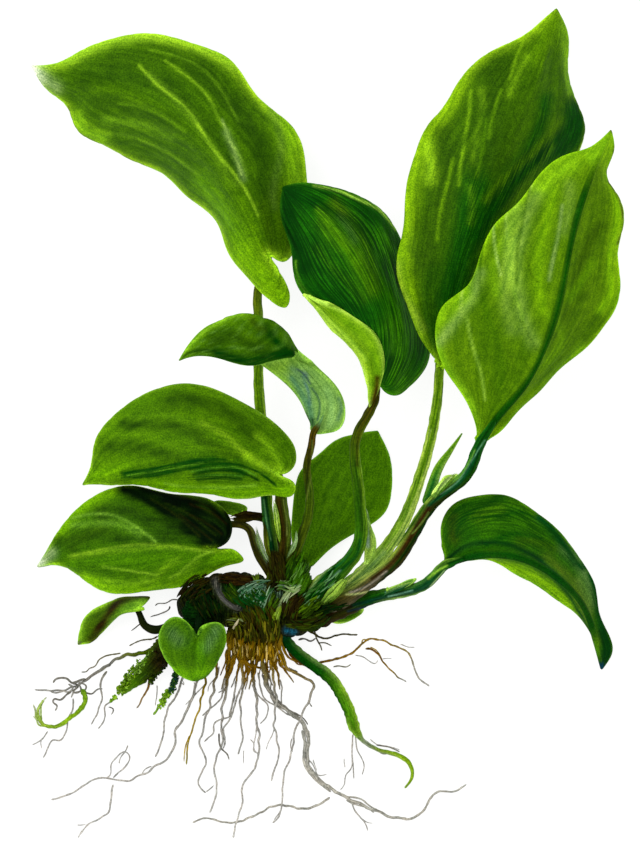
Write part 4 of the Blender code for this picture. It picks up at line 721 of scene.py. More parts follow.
        ("#587E42", 1.9, 0.7, (173,633, 179,640)), ("#5A8446", 1.5, 0.7, (216,629, 212,639, 207,647)),
        ("#3A6A10", 1.5, 0.6, (193,644, 194,658)), ("#60A008", 2.0, 0.7, (179,671, 193,675, 205,669)),
        ("#4C8A0C", 1.6, 0.6, (201,647, 202,658)), ("#35601C", 0.7, 0.6, (186,623, 191,636, 186,644)),
        ("#1F4C12", 0.4, 0.9, (194,630, 198,636, 202,629)),
        ("#1F4A12", 0.45, 0.8, (226,627, 228,644, 223,655, 216,667, 202,678, 194,681))]},
    "back_leaf": {
        "base": "#4C800B", "rim": ("#5F9618", 0.8, 0.8),
        "strokes": [
        ("#3E6E0A", 4.0, 0.4, (308,540, 295,564)), ("#3F5A10", 1.2, 0.5, (279,572, 301,559))]},
    "drooping_leaf": {
        "base": "#28600A", "rim": ("#4F8214", 0.8, 0.4), "rib": ("#0E4612", 0.6, 0.95),
        "ink": [(6, 0.7, (456,518, 494,512, 532,525)), (4, 0.6, (507,544, 545,544)),
                (2.2, 0.8, (549,527, 570,557)), (2, 0.8, (595,595, 606,646))],
        "strokes": [
        ("#2A5A0C", 2.6, 0.7, (453,546, 457,531, 467,518, 481,508, 496,502)),
        ("#3A4C0C", 1.6, 0.6, (453,516, 452,528, 454,539)),
        ("#1C5A10", 2.6, 0.6, (501,503, 519,508, 532,517)),
        ("#3A7212", 2.6, 0.6, (484,531, 501,523, 519,523, 535,528)),
        ("#3E6210", 2.0, 0.6, (519,542, 537,542, 552,548)),
        ("#5A8A14", 1.95, 0.41, (478,517, 491,511, 501,509)),
        ("#4E8010", 1.8, 0.41, (512,502, 524,508, 535,518)),
        ("#124A10", 0.5, 0.85, (473,518, 487,516, 507,514, 524,513, 532,518)),
        ("#154E10", 0.6, 0.85, (486,546, 496,539, 509,534, 527,535, 540,538)),
        ("#154A0E", 0.5, 0.7, (456,536, 459,525, 470,513, 484,506, 496,499)),
        ("#154A0E", 0.5, 0.7, (494,496, 507,497, 517,502)),
        ("#1F5210", 0.5, 0.6, (519,555, 540,558, 555,562)),
        # the next two grey-green streaks are painted highlights inside the dark margin
        ("#5E8244", 1.7, 0.75, (564,548, 577,562, 587,580, 594,602)),
        ("#5A7E34", 1.6, 0.7, (577,582, 583,595, 588,608)),
        ("#4E6E1A", 2.0, 0.7, (545,559, 558,569, 570,582, 579,602, 586,615)),
        ("#7FB514", 1.95, 0.61, (491,560, 507,564, 522,569, 538,578, 555,591, 569,604)),
        ("#74A818", 1.8, 0.58, (569,604, 580,618, 589,632, 596,641)),
        ("#86BE22", 0.9, 0.48, (501,565, 519,574, 538,587, 558,601, 573,613)),
        ("#0F4A1C", 1.3, 0.95, (537,518, 549,527, 559,539, 568,551, 575,562, 582,567)),
        ("#0E4A1A", 1.1, 0.95, (588,574, 595,595, 598,613, 602,628, 606,641)),
        ("#0A4018", 2.3, 1, (604,633, 607,648, 604,664)), ("#06405A", 0.7, 0.9, (602,669, 601,664)),
        ("#0A3C18", 0.7, 0.95, (445,561, 460,549, 480,543, 500,543, 520,549, 540,561)),
        ("#0E4A1A", 0.9, 0.8, (540,561, 560,583, 578,610, 590,632))]},
    "young_leaf": {"base": "#5A8A1C", "rim": ("#7DB024", 0.5, 0.5)},
}

sheathPaints = {
    "upper_sheath": {"base": "#86B83E", "rim": ("#B4D66A", 0.5, 0.5)},
    "lower_sheath": {"base": "#5F9A3A", "rim": ("#9CC850", 0.5, 0.5), "strokes": [
        # the first stroke, in teal, is a painted highlight on the sheath
        ("#5E9A70", 0.9, 0.7, (384,585, 404,576)), ("#1E5A24", 1.2, 0.95, (371,591, 381,588))]},
    "inner_sheath": {"base": "#94C048", "rim": ("#B0D468", 0.4, 0.4), "strokes": [
        ("#8FB094", 0.62, 0.95, (363,508, 365,520, 367,533, 368,546)),
        ("#A8D850", 0.5, 0.8, (373,528, 374,543, 369,560))]},
    "crown_bud": {"base": "#4C8016", "rim": ("#94C040", 0.5, 0.5), "strokes": [
        ("#33610E", 0.7, 0.7, (331,617, 344,617, 358,612))]},
}

bladeBuild = {
    "grain": 0.46, "rowDensity": 1.5, "rows": (36, 290), "columns": (26, 132),
    "evenColumns": (-1, -0.86, -0.1, 0.1, 0.86, 1), "setColumns": (-1, -0.93, -0.06, 0.06, 0.93, 1),
    "lobeRow": 0.2, "spread": 0.45,
    "thick": 0.78, "thin": 0.42, "rimRound": 0.05, "fadeIn": 0.06, "fadeOut": 0.12,
    "ribHeight": 0.75, "ribWidth": 0.85, "ribPaintEnd": 0.93, "ribPaintFade": 0.1,
    "grooveDepth": 0.4, "grooveWidth": 0.8,
    "veinDepth": 0.13, "veinSpacing": 6.5, "veinLean": 1.25, "veinWidth": 0.13, "veinReach": 2,
    "blister": 0.3, "blisterSize": 8.0, "blisterStretch": 2.6,
    "wave": 0.55, "waveLength": 17.0, "wavePower": 4,
    "fleck": 0.35, "fleckSize": 2.4, "fleckNarrow": 1.6, "fleckStretch": 2.5, "fleckWaves": 20,
    "fleckSeed": 70,
    # the edge settings brighten the blade's margin band and outermost edge: painted highlight against the
    # shade on the rounded rim
    "contrast": 0.24, "lightness": (0.21, 0.72, 0.07), "edgeHighlightGain": 1.5, "rimStrength": 0.9,
    "edgeHighlight": 0.45, "edgeHighlightWidth": 0.45, "seed": 3, "curlSeed": 31, "sheathSeed": 40,
}


def bladeSheet(leaf, row, side):
    # each row is a straight line from the midrib to the outline of that half, raised by the arch as
    # arch * 4 * out * (1 - out) * sin(pi * row)
    base, tip = leaf["midrib"][0], leaf["midrib"][-1]
    if "pins" in leaf:
        pins = np.array(leaf["pins"])
    else:
        leftLobe, rightLobe = leaf["lobes"]
        pins = np.array([(0, 0, 0, 0), (bladeBuild["lobeRow"], leftLobe, 0, rightLobe), (1, 1, 1, 1)])
    outlines = {half: smoothCurve([base, *leaf[half], tip]) for half in ("left", "right")}
    left = alongCurve(outlines["left"], np.interp(row, pins[:, 0], pins[:, 1]))
    middle = alongCurve(smoothCurve(leaf["midrib"]), np.interp(row, pins[:, 0], pins[:, 2]))
    right = alongCurve(outlines["right"], np.interp(row, pins[:, 0], pins[:, 3]))
    edge = np.where(side[None, :, None] < 0, left[:, None], right[:, None])
    out = np.abs(side)[None, :, None]
    points = middle[:, None] + out * (edge - middle[:, None])
    bow = 4 * out * (1 - out)
    points[..., 2] += leaf["arch"] * bow[..., 0] * np.sin(np.pi * row)[:, None]
    if "bulge" in leaf:  # a fold bows outwards: its row, the spread of rows, and the shift of each half
        fold, spread, leftShift, rightShift = leaf["bulge"]
        shift = np.where(side[None, :, None] < 0, leftShift, rightShift)
        points[..., :2] += shift * bow * bell(row - fold, spread)[:, None, None]
    return points, outlines


def unitNormals(sheet):  # cross product of the sheet's two grid directions
    normal = np.cross(np.gradient(sheet, axis=1), np.gradient(sheet, axis=0))
    return normal / np.maximum(np.linalg.norm(normal, axis=-1, keepdims=True), 1e-9)


def rowsIn(part, row):  # 1 on the rows a stroke is laid on, 0 on the others
    first, last = part[0] if part else (0, 1)
    return ((row >= first) & (row <= last))[:, None]


def leafPaint(look, spots, outlines, reach, row, fleck):
    # the base coat, then the margins, each with a narrow band of painted highlight, then the strokes in
    # order, each broken up by the fleck; each spot is made lighter or darker by (its lightness / the base
    # coat's)^contrast;
    # the midrib and the edge come last, the edge painted brighter than the rim colour as a painted highlight
    build = bladeBuild
    base = seen(look["base"])
    paint = np.broadcast_to(base, (*spots.shape[:-1], 3)).copy()
    rimColour, *rimWidths = look["rim"]
    for half, width in zip(("left", "right"), rimWidths):
        margin = distanceTo(smoothCurve(outlines[half][::5, :2], 60), spots)
        paint = painted(paint, rimColour, build["rimStrength"] * bell(margin, width))
        # painted highlight: a narrow band along the margin made brighter, against the shade on the rounded
        # rim
        paint = paint * (1 + build["edgeHighlight"] * bell(margin, build["edgeHighlightWidth"]))[..., None]
    for colour, width, strength, path, *part in look.get("strokes", []):
        weight = np.clip(strength * fleck * bell(distanceTo(drawn(path), spots), width), 0, 1)
        paint = painted(paint, colour, weight * rowsIn(part, row))
    lightness = paint @ build["lightness"]
    paint = paint * (lightness / (base @ build["lightness"]))[..., None] ** build["contrast"]
    if "rib" in look:
        ribColour, width, strength = look["rib"]
        faded = np.clip((build["ribPaintEnd"] - row) / build["ribPaintFade"], 0, 1)[:, None]
        paint = painted(paint, ribColour, strength * bell(reach, width) * faded)
    # painted highlight: the outermost edge set brighter than the rim colour
    paint[:, [0, -1]] = seen(rimColour) * build["edgeHighlightGain"]
    ink = np.zeros(spots.shape[:-1])
    for width, strength, path, *part in look.get("ink", []):
        weight = strength * bell(distanceTo(drawn(path), spots), width)
        ink = np.maximum(ink, weight * rowsIn(part, row))
    return paint, ink


def bladeShell(leaf, look, seed):
    # the sheet plus relief along its normal: a groove over the midrib or a ridge under it, narrow veins that
    # lean forward, soft blisters between them, and a slow wave on the margin; then half its thickness each
    # way, rounded to nothing on the margin
    build = bladeBuild
    length = lengthsAlong(smoothCurve(leaf["midrib"]))[-1]
    rowCount = int(np.clip(length * build["rowDensity"] / build["grain"], *build["rows"]))
    row = np.linspace(0, 1, rowCount + 2)[1:-1]
    edges = [bladeSheet(leaf, row, np.array([s]))[0][:, 0] for s in (-1.0, 1.0)]
    widest = np.linalg.norm(edges[0] - edges[1], axis=1).max()
    columnCount = int(np.clip(widest / build["grain"], *build["columns"])) | 1
    side = np.interp(np.linspace(-1, 1, columnCount), build["evenColumns"], build["setColumns"])
    sheet, outlines = bladeSheet(leaf, row, side)
    out = np.abs(side)[None]
    reach = np.linalg.norm(sheet - sheet[:, [columnCount // 2]], axis=-1)
    across = side[None] * widest / 2 * (1 - build["spread"] * row[:, None])
    down = row * length
    fade = (np.clip(row / build["fadeIn"], 0, 1) * np.clip((1 - row) / build["fadeOut"], 0, 1))[:, None]
    halfStep = np.where(side < 0, 0.5, 0)[None] * build["veinSpacing"]
    lean = down[:, None] - build["veinLean"] * reach + halfStep
    valley = bell((lean / build["veinSpacing"]) % 1 - 0.5, build["veinWidth"])
    blisters = ripples(across, down[:, None] / build["blisterStretch"], build["blisterSize"], seed)
    wave = np.sin(2 * np.pi * down[:, None] / build["waveLength"] + seed + side[None])
    relief = -build["veinDepth"] * valley * np.clip(reach / build["veinReach"], 0, 1) * fade
    relief = relief + build["blister"] * blisters * fade
    relief = relief + build["wave"] * out ** build["wavePower"] * wave * fade
    rib = build["ribHeight"] * bell(reach, build["ribWidth"]) * fade
    groove = build["grooveDepth"] * bell(reach, build["grooveWidth"]) * fade
    upward, downward = (rib, -groove) if leaf["face"] > 0 else (-groove, rib)
    normal = unitNormals(sheet)
    rounding = np.sqrt(1 - np.clip((out - 1 + build["rimRound"]) / build["rimRound"], 0, 1) ** 2)
    half = (build["thick"] + (build["thin"] - build["thick"]) * out) / 2 * rounding
    top = sheet + normal * (relief + half + upward * rounding)[..., None]
    bottom = sheet + normal * (relief - half - downward * rounding)[..., None]
    lift = np.maximum(plan["lowest"] - np.minimum(top[..., 2], bottom[..., 2]), 0)
    top[..., 2] += lift
    bottom[..., 2] += lift
    flecks = ripples(across * build["fleckNarrow"], down[:, None] / build["fleckStretch"],
                     build["fleckSize"], seed + build["fleckSeed"], build["fleckWaves"])
    paint, ink = leafPaint(look, sheet[..., :2], outlines, reach, row, 1 + build["fleck"] * flecks)
    ring, ringPaint, ringInk = (np.concatenate([over, under[:, -2:0:-1]], 1)
                                for over, under in ((top, bottom), (paint, paint), (ink, ink)))
    wrap = np.concatenate([across, across[:, -2:0:-1], across[:, :1]], 1)
    return shell(ring, [leaf["midrib"][0], leaf["midrib"][-1]], wrap, down, ringPaint, ringInk)


leafFinish = {
    "middle_leaf": ("darkLeaf", "dark_leaf_blade"), "back_leaf": ("leaf", "dark_leaf_blade"),
    "front_right_leaf": ("underside", "pale_leaf_underside"),
    "folded_leaf": ("underside", "pale_leaf_underside"),
}


def pieceName(node):  # back_leaf becomes backLeaf
    first, *rest = node.split("_")
    return first + "".join(part.capitalize() for part in rest)


for number, (node, leaf) in enumerate(leafShapes.items()):
    finish, slotName = leafFinish.get(node, ("leaf", "leaf_blade"))
    blade = bladeShell(leaf, leafPaints[node], number + bladeBuild["seed"])
    makePiece(pieceName(node), [blade], finishes[finish], slotName, node)

# The dark leaf's lower left margin curls over and shows its pale underside: a narrow strip, its outer edge
# on the leaf's margin and its inner edge resting on the blade.
curledMargin = {
    "midrib": inSpace(-6.2,38.6,30.6, -1.2,34.6,32, 4,29.5,33, 8.6,25.2,33.2, 12.4,21.2,32.6, 14.4,16.6,32,
        14.6,12.2,31, 14.2,8.4,30.2, 13.4,4.6,29.4),
    "left": inSpace(-4.9,36.2,31.2, -2.2,33.2,31.4, 1.1,29.3,31.6, 4.6,25.3,31.6, 8.2,21.2,31.2,
        11.1,17.4,30.6, 12.2,13.6,30.2, 12.6,10.8,29.8, 12.7,8,29.6),
    "right": inSpace(-3,37,31.6, 1.3,35.4,33.2, 5.7,33.6,34.4, 10.1,31,35, 14,28,35.2, 16.4,24.4,34.6,
        17.6,20,33.4, 17.8,15.6,31.8, 17,12,30.8, 15.8,8.8,30.2),
    "lobes": (0.12, 0.12), "arch": 1.0, "face": 1,
}
curledPaint = {
    "base": "#7DB01E", "rim": ("#A4CC4C", 0.7, 0.8), "strokes": [
        ("#639C14", 1.0, 0.7, (331,311, 351,326, 368,341, 376,360, 379,376)),
        ("#9CCB3C", 0.8, 0.7, (318,309, 334,326, 351,343, 364,360)),
        ("#5C9412", 0.7, 0.6, (370,356, 373,371, 374,385)),
        ("#4A4412", 0.9, 0.95, (377,378, 376,388, 374,396, 372,404)),
        ("#4F7A14", 0.3, 0.7, (329,306, 344,311, 358,319, 371,330, 378,341, 382,356, 384,371)),
    ],
}
curl = bladeShell(curledMargin, curledPaint, bladeBuild["curlSeed"])
makePiece("middleLeafCurl", [curl], finishes["underside"], "pale_leaf_underside", "middle_leaf")
for number, (node, sheath) in enumerate(sheathShapes.items()):
    blade = bladeShell(sheath, sheathPaints[node], number + bladeBuild["sheathSeed"])
    makePiece(pieceName(node), [blade], finishes["sheath"], "leaf_sheath", node)
print("leaves made:", sum(pieceCount), "triangles so far")

# Stalks: the leaf it carries, its path, and its radius at the bottom and at the leaf. The paths are the
# solids' or were traced again a few mm away. bands are (share of the length, left edge, middle, right edge)
# as seen from above on the way to the leaf; swell is (share, factor on the radius).
stalkPaths = {
    "upper_left_stalk": ("upper_left_leaf", inSpace(-15,-51,5, -15.2,-42,6.5, -16.8,-30,7.5, -17.8,-15,9.5,
        -18.8,0,11, -19.8,15,12, -19.6,30,12, -19.8,40,12.3), 1.9, 1.3),
    "middle_stalk": ("middle_leaf", inSpace(-6,-54,9, -0.6,-48.7,15, 5.8,-43,20, 10.3,-36.4,22.5,
        10.8,-27,24, 9.6,-15,26, 9.6,-4,26.5, 13,2.5,26.2, 15.2,8,25.8), 2.4, 1.3),
    "folded_leaf_stalk": ("folded_leaf", inSpace(-12.4,-50,11.5, -10,-41.6,16, -6.2,-32.2,20.6, -4.4,-22,24,
        -5.2,-12,27, -3.8,-6,29), 1.7, 1.0),
    "left_stalk": ("left_leaf", inSpace(-13,-52,10.5, -12.4,-41,14, -11.8,-32,17, -12.9,-24,19.5), 1.7, 1.1),
    "lower_left_stalk": ("lower_left_leaf", inSpace(-14.2,-49,9, -15.8,-45.6,9.4, -18.9,-41.1,9.8,
        -21.2,-35.6,9.6, -22.6,-31.8,9, -25.6,-30.4,8.8, -29,-30.5,8.5, -32.5,-32.8,10), 1.6, 1.0),
    "small_left_stalk": ("small_left_leaf", inSpace(-46,-61,4, -50.5,-62,4.2, -54,-60.6,3.8), 1.5, 0.8),
    "heart_leaf_stalk": ("heart_leaf", inSpace(-37,-56.5,9, -37.6,-59.5,13.6), 1.3, 0.9),
    "back_stalk": ("back_leaf", inSpace(-8.6,-52,4, -7,-47.5,3.6), 1.3, 0.8),
    "tall_right_stalk": ("tall_right_leaf", inSpace(-2,-54,5.5, 6,-49.8,6.4, 13,-43.8,8, 19,-37,9,
        23.9,-29,10, 27.7,-19,11, 31,-8,12, 33.2,3,13, 34.2,12,13.8), 2.2, 1.4),
    "front_right_stalk": ("front_right_leaf", inSpace(0,-54.5,10.5, 8,-51,14, 13.8,-46.9,16.5, 21,-41.3,18.5,
        25.2,-35,21, 28.8,-28.8,23, 33.2,-23,25, 39.2,-18.4,27, 43,-14.5,29.5), 2.4, 1.7),
    "drooping_stalk": ("drooping_leaf", inSpace(-3,-57.6,5.5, 2.5,-56.6,7, 9,-54.1,9.5, 16,-51.8,13,
        23,-50.6,16.8, 29,-48.8,20.4, 33,-45.6,23), 2.3, 1.5),
    "young_leaf_stalk": ("young_leaf", inSpace(-11,-50,3, -12.6,-42,2.6, -14.6,-34,2.8,
        -17.6,-28.8,4.2), 1.1, 0.8),
}

# The lighter edge colours in these bands are painted highlights along the stalks' sides.
stalkLooks = {
    "upper_left_stalk": {
        "bands": [(0, "#1C4A10", "#1E4410", "#2F5A14"), (0.2, "#3E7A1C", "#14501A", "#6F9A2A"),
                  (0.32, "#5C8E16", "#2F6A12", "#86B02A"), (0.42, "#74A01E", "#4F8210", "#9CC43C"),
                  (0.68, "#6F981E", "#557E12", "#9CC84A"), (0.78, "#5A6A1A", "#4E6414", "#6F8A2A"),
                  (0.9, "#4A4A12", "#44520E", "#565E1E"), (1, "#3E4A10", "#3E4A10", "#3E4A10")],
        "swell": [(0, 1.5), (0.06, 1.2), (0.14, 1), (1, 1)]},
    "middle_stalk": {
        "bands": [(0, "#1E3A0E", "#24400E", "#2F4A14"), (0.2, "#2F5E12", "#1E5210", "#4E7E1C"),
                  (0.45, "#3A6A10", "#2A5A08", "#74A224"), (0.62, "#3E6010", "#325606", "#6F9A20"),
                  (0.76, "#3A4A0C", "#3C400C", "#566A14"), (0.9, "#33300C", "#3A2E0A", "#44420E"),
                  (1, "#2E2A08", "#33260A", "#33300C")],
        "swell": [(0, 1.6), (0.1, 1.45), (0.25, 1.1), (0.4, 1), (1, 1)]},
    "folded_leaf_stalk": {
        "bands": [(0, "#2A2E0C", "#33300E", "#2A2E0C"), (0.3, "#35500E", "#3E4A10", "#4E6A16"),
                  (0.6, "#3C5A12", "#34500E", "#52701C"), (0.85, "#4A3E12", "#43350E", "#54481A"),
                  (0.92, "#44400F", "#3E3A0E", "#4A4A14"), (0.96, "#5E8A4A", "#4A7A48", "#6E9E50"),
                  (1, "#6E9E50", "#5E8E4E", "#7AAA54")],
        "swell": [(0, 1.5), (0.12, 1.25), (0.3, 1), (0.92, 1), (1, 0.4)]},
    "left_stalk": {
        "bands": [(0, "#2E2A0A", "#33300C", "#3A3A10"), (0.5, "#3A3A0E", "#33420E", "#5C7A24"),
                  (1, "#2E4A0E", "#24400C", "#4A6A16")],
        "swell": [(0, 1.4), (0.3, 1.2), (0.6, 1.4), (0.85, 1.55), (1, 1.2)]},
    "lower_left_stalk": {
        "bands": [(0, "#2A2808", "#33300C", "#2A2808"), (0.4, "#3A3A10", "#3E4210", "#6F8A44"),
                  (0.65, "#3E3E0E", "#3C3A0E", "#4E4E16"), (0.85, "#5A6A1C", "#4A4A10", "#3A2E0A"),
                  (1, "#6F8A24", "#4E5A14", "#3A300C")],
        "swell": [(0, 1.2), (0.2, 0.85), (0.6, 0.9), (0.8, 1.1), (1, 1.1)]},
    "small_left_stalk": {
        "bands": [(0, "#16200A", "#1A2208", "#16200A"), (1, "#2A2A0C", "#1E2408", "#222A0A")]},
    "heart_leaf_stalk": {
        "bands": [(0, "#16200A", "#142008", "#16200A"), (1, "#12280C", "#0E2408", "#12280C")]},
    "back_stalk": {
        "bands": [(0, "#2A3A0C", "#33480E", "#2A3A0C"), (1, "#3E6A10", "#3A6010", "#3E6A10")]},
    "tall_right_stalk": {
        "bands": [(0, "#3A5A14", "#4E7A1A", "#3A4A14"), (0.16, "#8CBE42", "#8FBC4A", "#7DA83A"),
                  (0.34, "#B0DC50", "#6FA428", "#C0E070"), (0.55, "#ACD844", "#5A8A0C", "#BCE05C"),
                  (0.8, "#A4CC3E", "#568406", "#A4CC44"), (1, "#7DA424", "#4E780A", "#86AE30")],
        "swell": [(0, 1.3), (0.15, 1.25), (0.35, 1.05), (0.6, 1), (1, 1)]},
    "front_right_stalk": {
        "bands": [(0, "#5C7A24", "#3E3A10", "#4A4630"), (0.2, "#A4C858", "#4A4626", "#4E4A36"),
                  (0.34, "#A4C84A", "#3A3414", "#2A300A"), (0.5, "#94BC3E", "#2E220A", "#1E2E0A"),
                  (0.66, "#7DAE3A", "#24300C", "#24380E"), (0.78, "#3E8A2A", "#0F3E12", "#24500E"),
                  (0.9, "#1E6A1C", "#0D4212", "#1E5A1A"), (1, "#1E5A14", "#0E4410", "#1E5A14")],
        "swell": [(0, 1.3), (0.1, 1.2), (0.25, 1), (1, 1)]},
    "drooping_stalk": {
        "bands": [(0, "#33420E", "#2A2408", "#241E08"), (0.22, "#4E6E16", "#2A3C0C", "#33280A"),
                  (0.36, "#2F6A16", "#12400E", "#16420F"), (0.55, "#5E9A3A", "#0F4214", "#8FBE5A"),
                  (0.75, "#4E8E3A", "#0C4424", "#3E7E2A"), (0.9, "#74A832", "#0D4212", "#2A6A1C"),
                  (1, "#0E4612", "#0D4212", "#0E4612")],
        "swell": [(0, 1.5), (0.2, 1.2), (0.4, 1), (1, 1)]},
    "young_leaf_stalk": {
        "bands": [(0, "#2A2808", "#2E300C", "#2A2808"), (0.5, "#33340C", "#332A0C", "#2E2A0A"),
                  (0.75, "#3A300E", "#33280A", "#3A340E"), (1, "#5E7A1A", "#3E4A10", "#4A5A14")],
        "swell": [(0, 1), (0.45, 1.1), (0.66, 1.6), (0.85, 1.6), (1, 1.2)]},
}

# Streaks on the stalks as seen from above: (colour, half width in mm, strength, path). The pale teal,
# grey-white and bright lime streaks are painted highlights along the stalks.
stalkStrokes = {
    "upper_left_stalk": [
        ("#0E5A34", 0.5, 0.8, (262,497, 266,520, 270,545, 277,566)),
        ("#0A3A1E", 0.5, 0.9, (265,495, 269,525, 274,548, 281,568)),
        ("#5E9A5A", 0.28, 0.8, (264,500, 267,522, 271,540)),
        ("#A8CC4A", 0.4, 0.8, (273,500, 276,520, 279,538, 280,550)),
        ("#33300C", 0.7, 0.9, (272,552, 278,566, 285,578)),
    ],
    "middle_stalk": [
        ("#12461A", 0.5, 0.9, (360,540, 356,556, 345,566, 333,580, 320,594, 310,606)),
        ("#0E5A2A", 0.4, 0.9, (351,548, 343,560, 331,570, 319,584, 309,598)),
        ("#86B06A", 0.3, 0.8, (345,552, 333,563, 320,576, 309,590)),
        ("#A0C850", 0.45, 0.8, (349,540, 341,553, 329,563, 318,575, 308,587)),
        ("#6E9A7A", 0.28, 0.8, (340,570, 328,582, 317,596)),
        ("#3E7A1E", 0.5, 0.7, (355,530, 350,548, 340,560)),
        ("#24400A", 0.6, 0.7, (359,480, 361,505, 361,530)),
        ("#3A3E0C", 0.5, 0.7, (371,395, 364,415, 358,440, 357,465)),
    ],
    "folded_leaf_stalk": [
        ("#24280A", 0.5, 0.8, (309,450, 307,480, 303,510, 298,540)),
        ("#5E6E2A", 0.25, 0.7, (312,440, 312,470, 306,500)),
        ("#2A3A0C", 0.8, 0.8, (300,535, 294,556, 288,572)),
    ],
    "left_stalk": [
        ("#33260A", 0.9, 0.85, (279,500, 282,518, 284,538, 281,560)),
        ("#6E7E3A", 0.25, 0.7, (284,500, 287,520, 287,535)),
        ("#6E8E2A", 0.4, 0.6, (289,512, 290,530, 288,545)),
    ],
    "lower_left_stalk": [
        ("#24200A", 0.5, 0.8, (236,522, 247,526, 252,540, 259,555, 268,572)),
        ("#8AAA94", 0.4, 0.9, (257,537, 261,548, 266,558, 271,568)),
        ("#B4CCA8", 0.22, 0.8, (259,541, 263,552, 269,563)),
        ("#5A5A2A", 0.3, 0.7, (243,519, 251,527, 255,538)),
    ],
    "tall_right_stalk": [
        ("#5A8A12", 0.5, 0.8, (441,375, 436,405, 425,445, 412,480, 397,520, 384,545)),
        ("#3E6E0A", 0.3, 0.7, (444,380, 439,410, 429,448, 415,484, 400,520)),
        ("#B8DC58", 0.35, 0.9, (430,430, 418,465, 404,502, 389,530, 372,555, 352,578)),
        ("#C0E064", 0.3, 0.8, (436,440, 426,470, 413,503, 398,533, 382,553)),
        ("#8FBE6A", 0.7, 0.7, (384,552, 370,567, 352,583, 338,596)),
        ("#C4E07A", 0.4, 0.8, (366,563, 352,577, 340,590)),
        ("#6E9E24", 0.4, 0.7, (376,548, 362,562, 348,578)),
    ],
    "front_right_stalk": [
        ("#0E4A26", 0.6, 0.9, (478,448, 462,478, 455,486, 437,498, 428,505)),
        ("#5E9A70", 0.2, 0.8, (484,440, 470,462, 458,480, 440,494)),
        ("#5E9A3A", 0.25, 0.9, (474,450, 461,473, 446,486, 434,496)),
        ("#0E4A12", 0.5, 0.9, (424,505, 413,522, 400,540, 388,556)),
        ("#33220A", 0.6, 0.9, (428,508, 415,530, 402,548, 388,565, 372,578)),
        ("#9AAA5A", 0.2, 0.8, (424,500, 410,520, 399,536)),
        ("#6E8E3A", 0.2, 0.8, (428,512, 420,524, 412,533)),
        ("#12340C", 0.5, 0.9, (432,512, 418,532, 404,553, 390,570, 378,582)),
        ("#8E8A78", 0.35, 0.9, (386,571, 374,581, 362,588, 350,592)),
        ("#4E4A34", 0.4, 0.9, (383,576, 370,586, 356,593)),
        ("#A8B870", 0.3, 0.8, (372,590, 360,593, 346,594)),
    ],
    "drooping_stalk": [
        ("#0A3A2A", 0.6, 0.9, (460,564, 446,572, 434,582, 418,590, 400,594, 380,598, 360,603, 340,608)),
        ("#5E9E84", 0.3, 0.9, (408,585, 396,588, 386,592)),
        ("#74AE90", 0.2, 0.9, (412,590, 400,593, 388,596)),
        ("#8CC83A", 0.35, 0.9, (446,565, 436,571, 428,578)),
        ("#B0D88A", 0.2, 0.5, (444,570, 436,579, 430,586)),
        ("#1E5A12", 0.4, 0.8, (378,594, 362,599, 346,602, 332,608)),
        ("#2A1E0A", 0.7, 0.9, (350,606, 336,611, 322,618)),
        ("#4E7E24", 0.3, 0.8, (340,602, 328,609, 318,615)),
        ("#0A2A3E", 0.35, 0.7, (374,605, 360,608, 348,611)),
    ],
    "young_leaf_stalk": [
        ("#2A2008", 0.6, 0.8, (238,513, 250,514, 262,512)),
        ("#6E7A34", 0.25, 0.7, (246,511, 256,511)),
    ],
}

# The new leaf, still rolled to a spear: its radii and its colours go with its path.
spear = {
    "path": inSpace(30.2,-24.6,17, 31.8,-20.1,17.2, 33.9,-14.1,18, 37.6,-8.3,18.8, 41.2,-3,20),
    "radii": [1.4, 1.6, 1.35, 0.8, 0.2], "samples": 110, "sides": 28,
    "skin": {"lump": 0.04, "lumpSize": 6.0, "groove": 0.25, "seed": 77},
    "bands": [(0, "#4E8A2A", "#12501E", "#6FA84A"), (0.3, "#6FA82A", "#1E6A24", "#94C85A"),
              (0.6, "#86B82A", "#4E8A1A", "#A4CC54"), (1, "#74A81C", "#5C9410", "#74A81C")],
}
# A stalk runs on along this share of the midrib (reach), half the blade's thickness and a gap away from it.
stalkBuild = {
    "reach": 0.09, "blade": 0.9, "gap": 0.6, "ends": (1.0, 0.75, 0.45), "slender": 0.9, "step": 0.38,
    "sides": 40, "seed": 60, "skin": {"lump": 0.08, "lumpSize": 3.6, "groove": 0.12},
}
tubeBuild = {"bandPower": 1.7, "grooveWidth": 0.5, "tip": 0.02}


def tubeFrames(curve):
    # unit vectors to the right of the path and away from the table, square to its direction
    way = np.gradient(curve, axis=0)
    way = way / np.linalg.norm(way, axis=1, keepdims=True)
    right = np.cross(way, (0, 0, 1))
    right = right / np.maximum(np.linalg.norm(right, axis=1, keepdims=True), 1e-6)
    return right, np.cross(right, way)


def bandPaint(bands, share, lateral):
    # the three colours are read along the length, then blended from edge to middle to edge round the tube
    stops = [b[0] for b in bands]
    lines = [np.stack([np.interp(share, stops, [seen(b[1 + k])[ch] for b in bands]) for ch in range(3)], -1)
             for k in range(3)]
    left, right = (np.clip(way * lateral, 0, 1)[None, :, None] ** tubeBuild["bandPower"] for way in (-1, 1))
    return left * lines[0][:, None] + right * lines[2][:, None] + (1 - left - right) * lines[1][:, None]


def streaked(paint, strokes, spots):  # strokes laid over the paint in order
    for colour, width, strength, path in strokes:
        paint = painted(paint, colour, strength * bell(distanceTo(drawn(path), spots), width))
    return paint


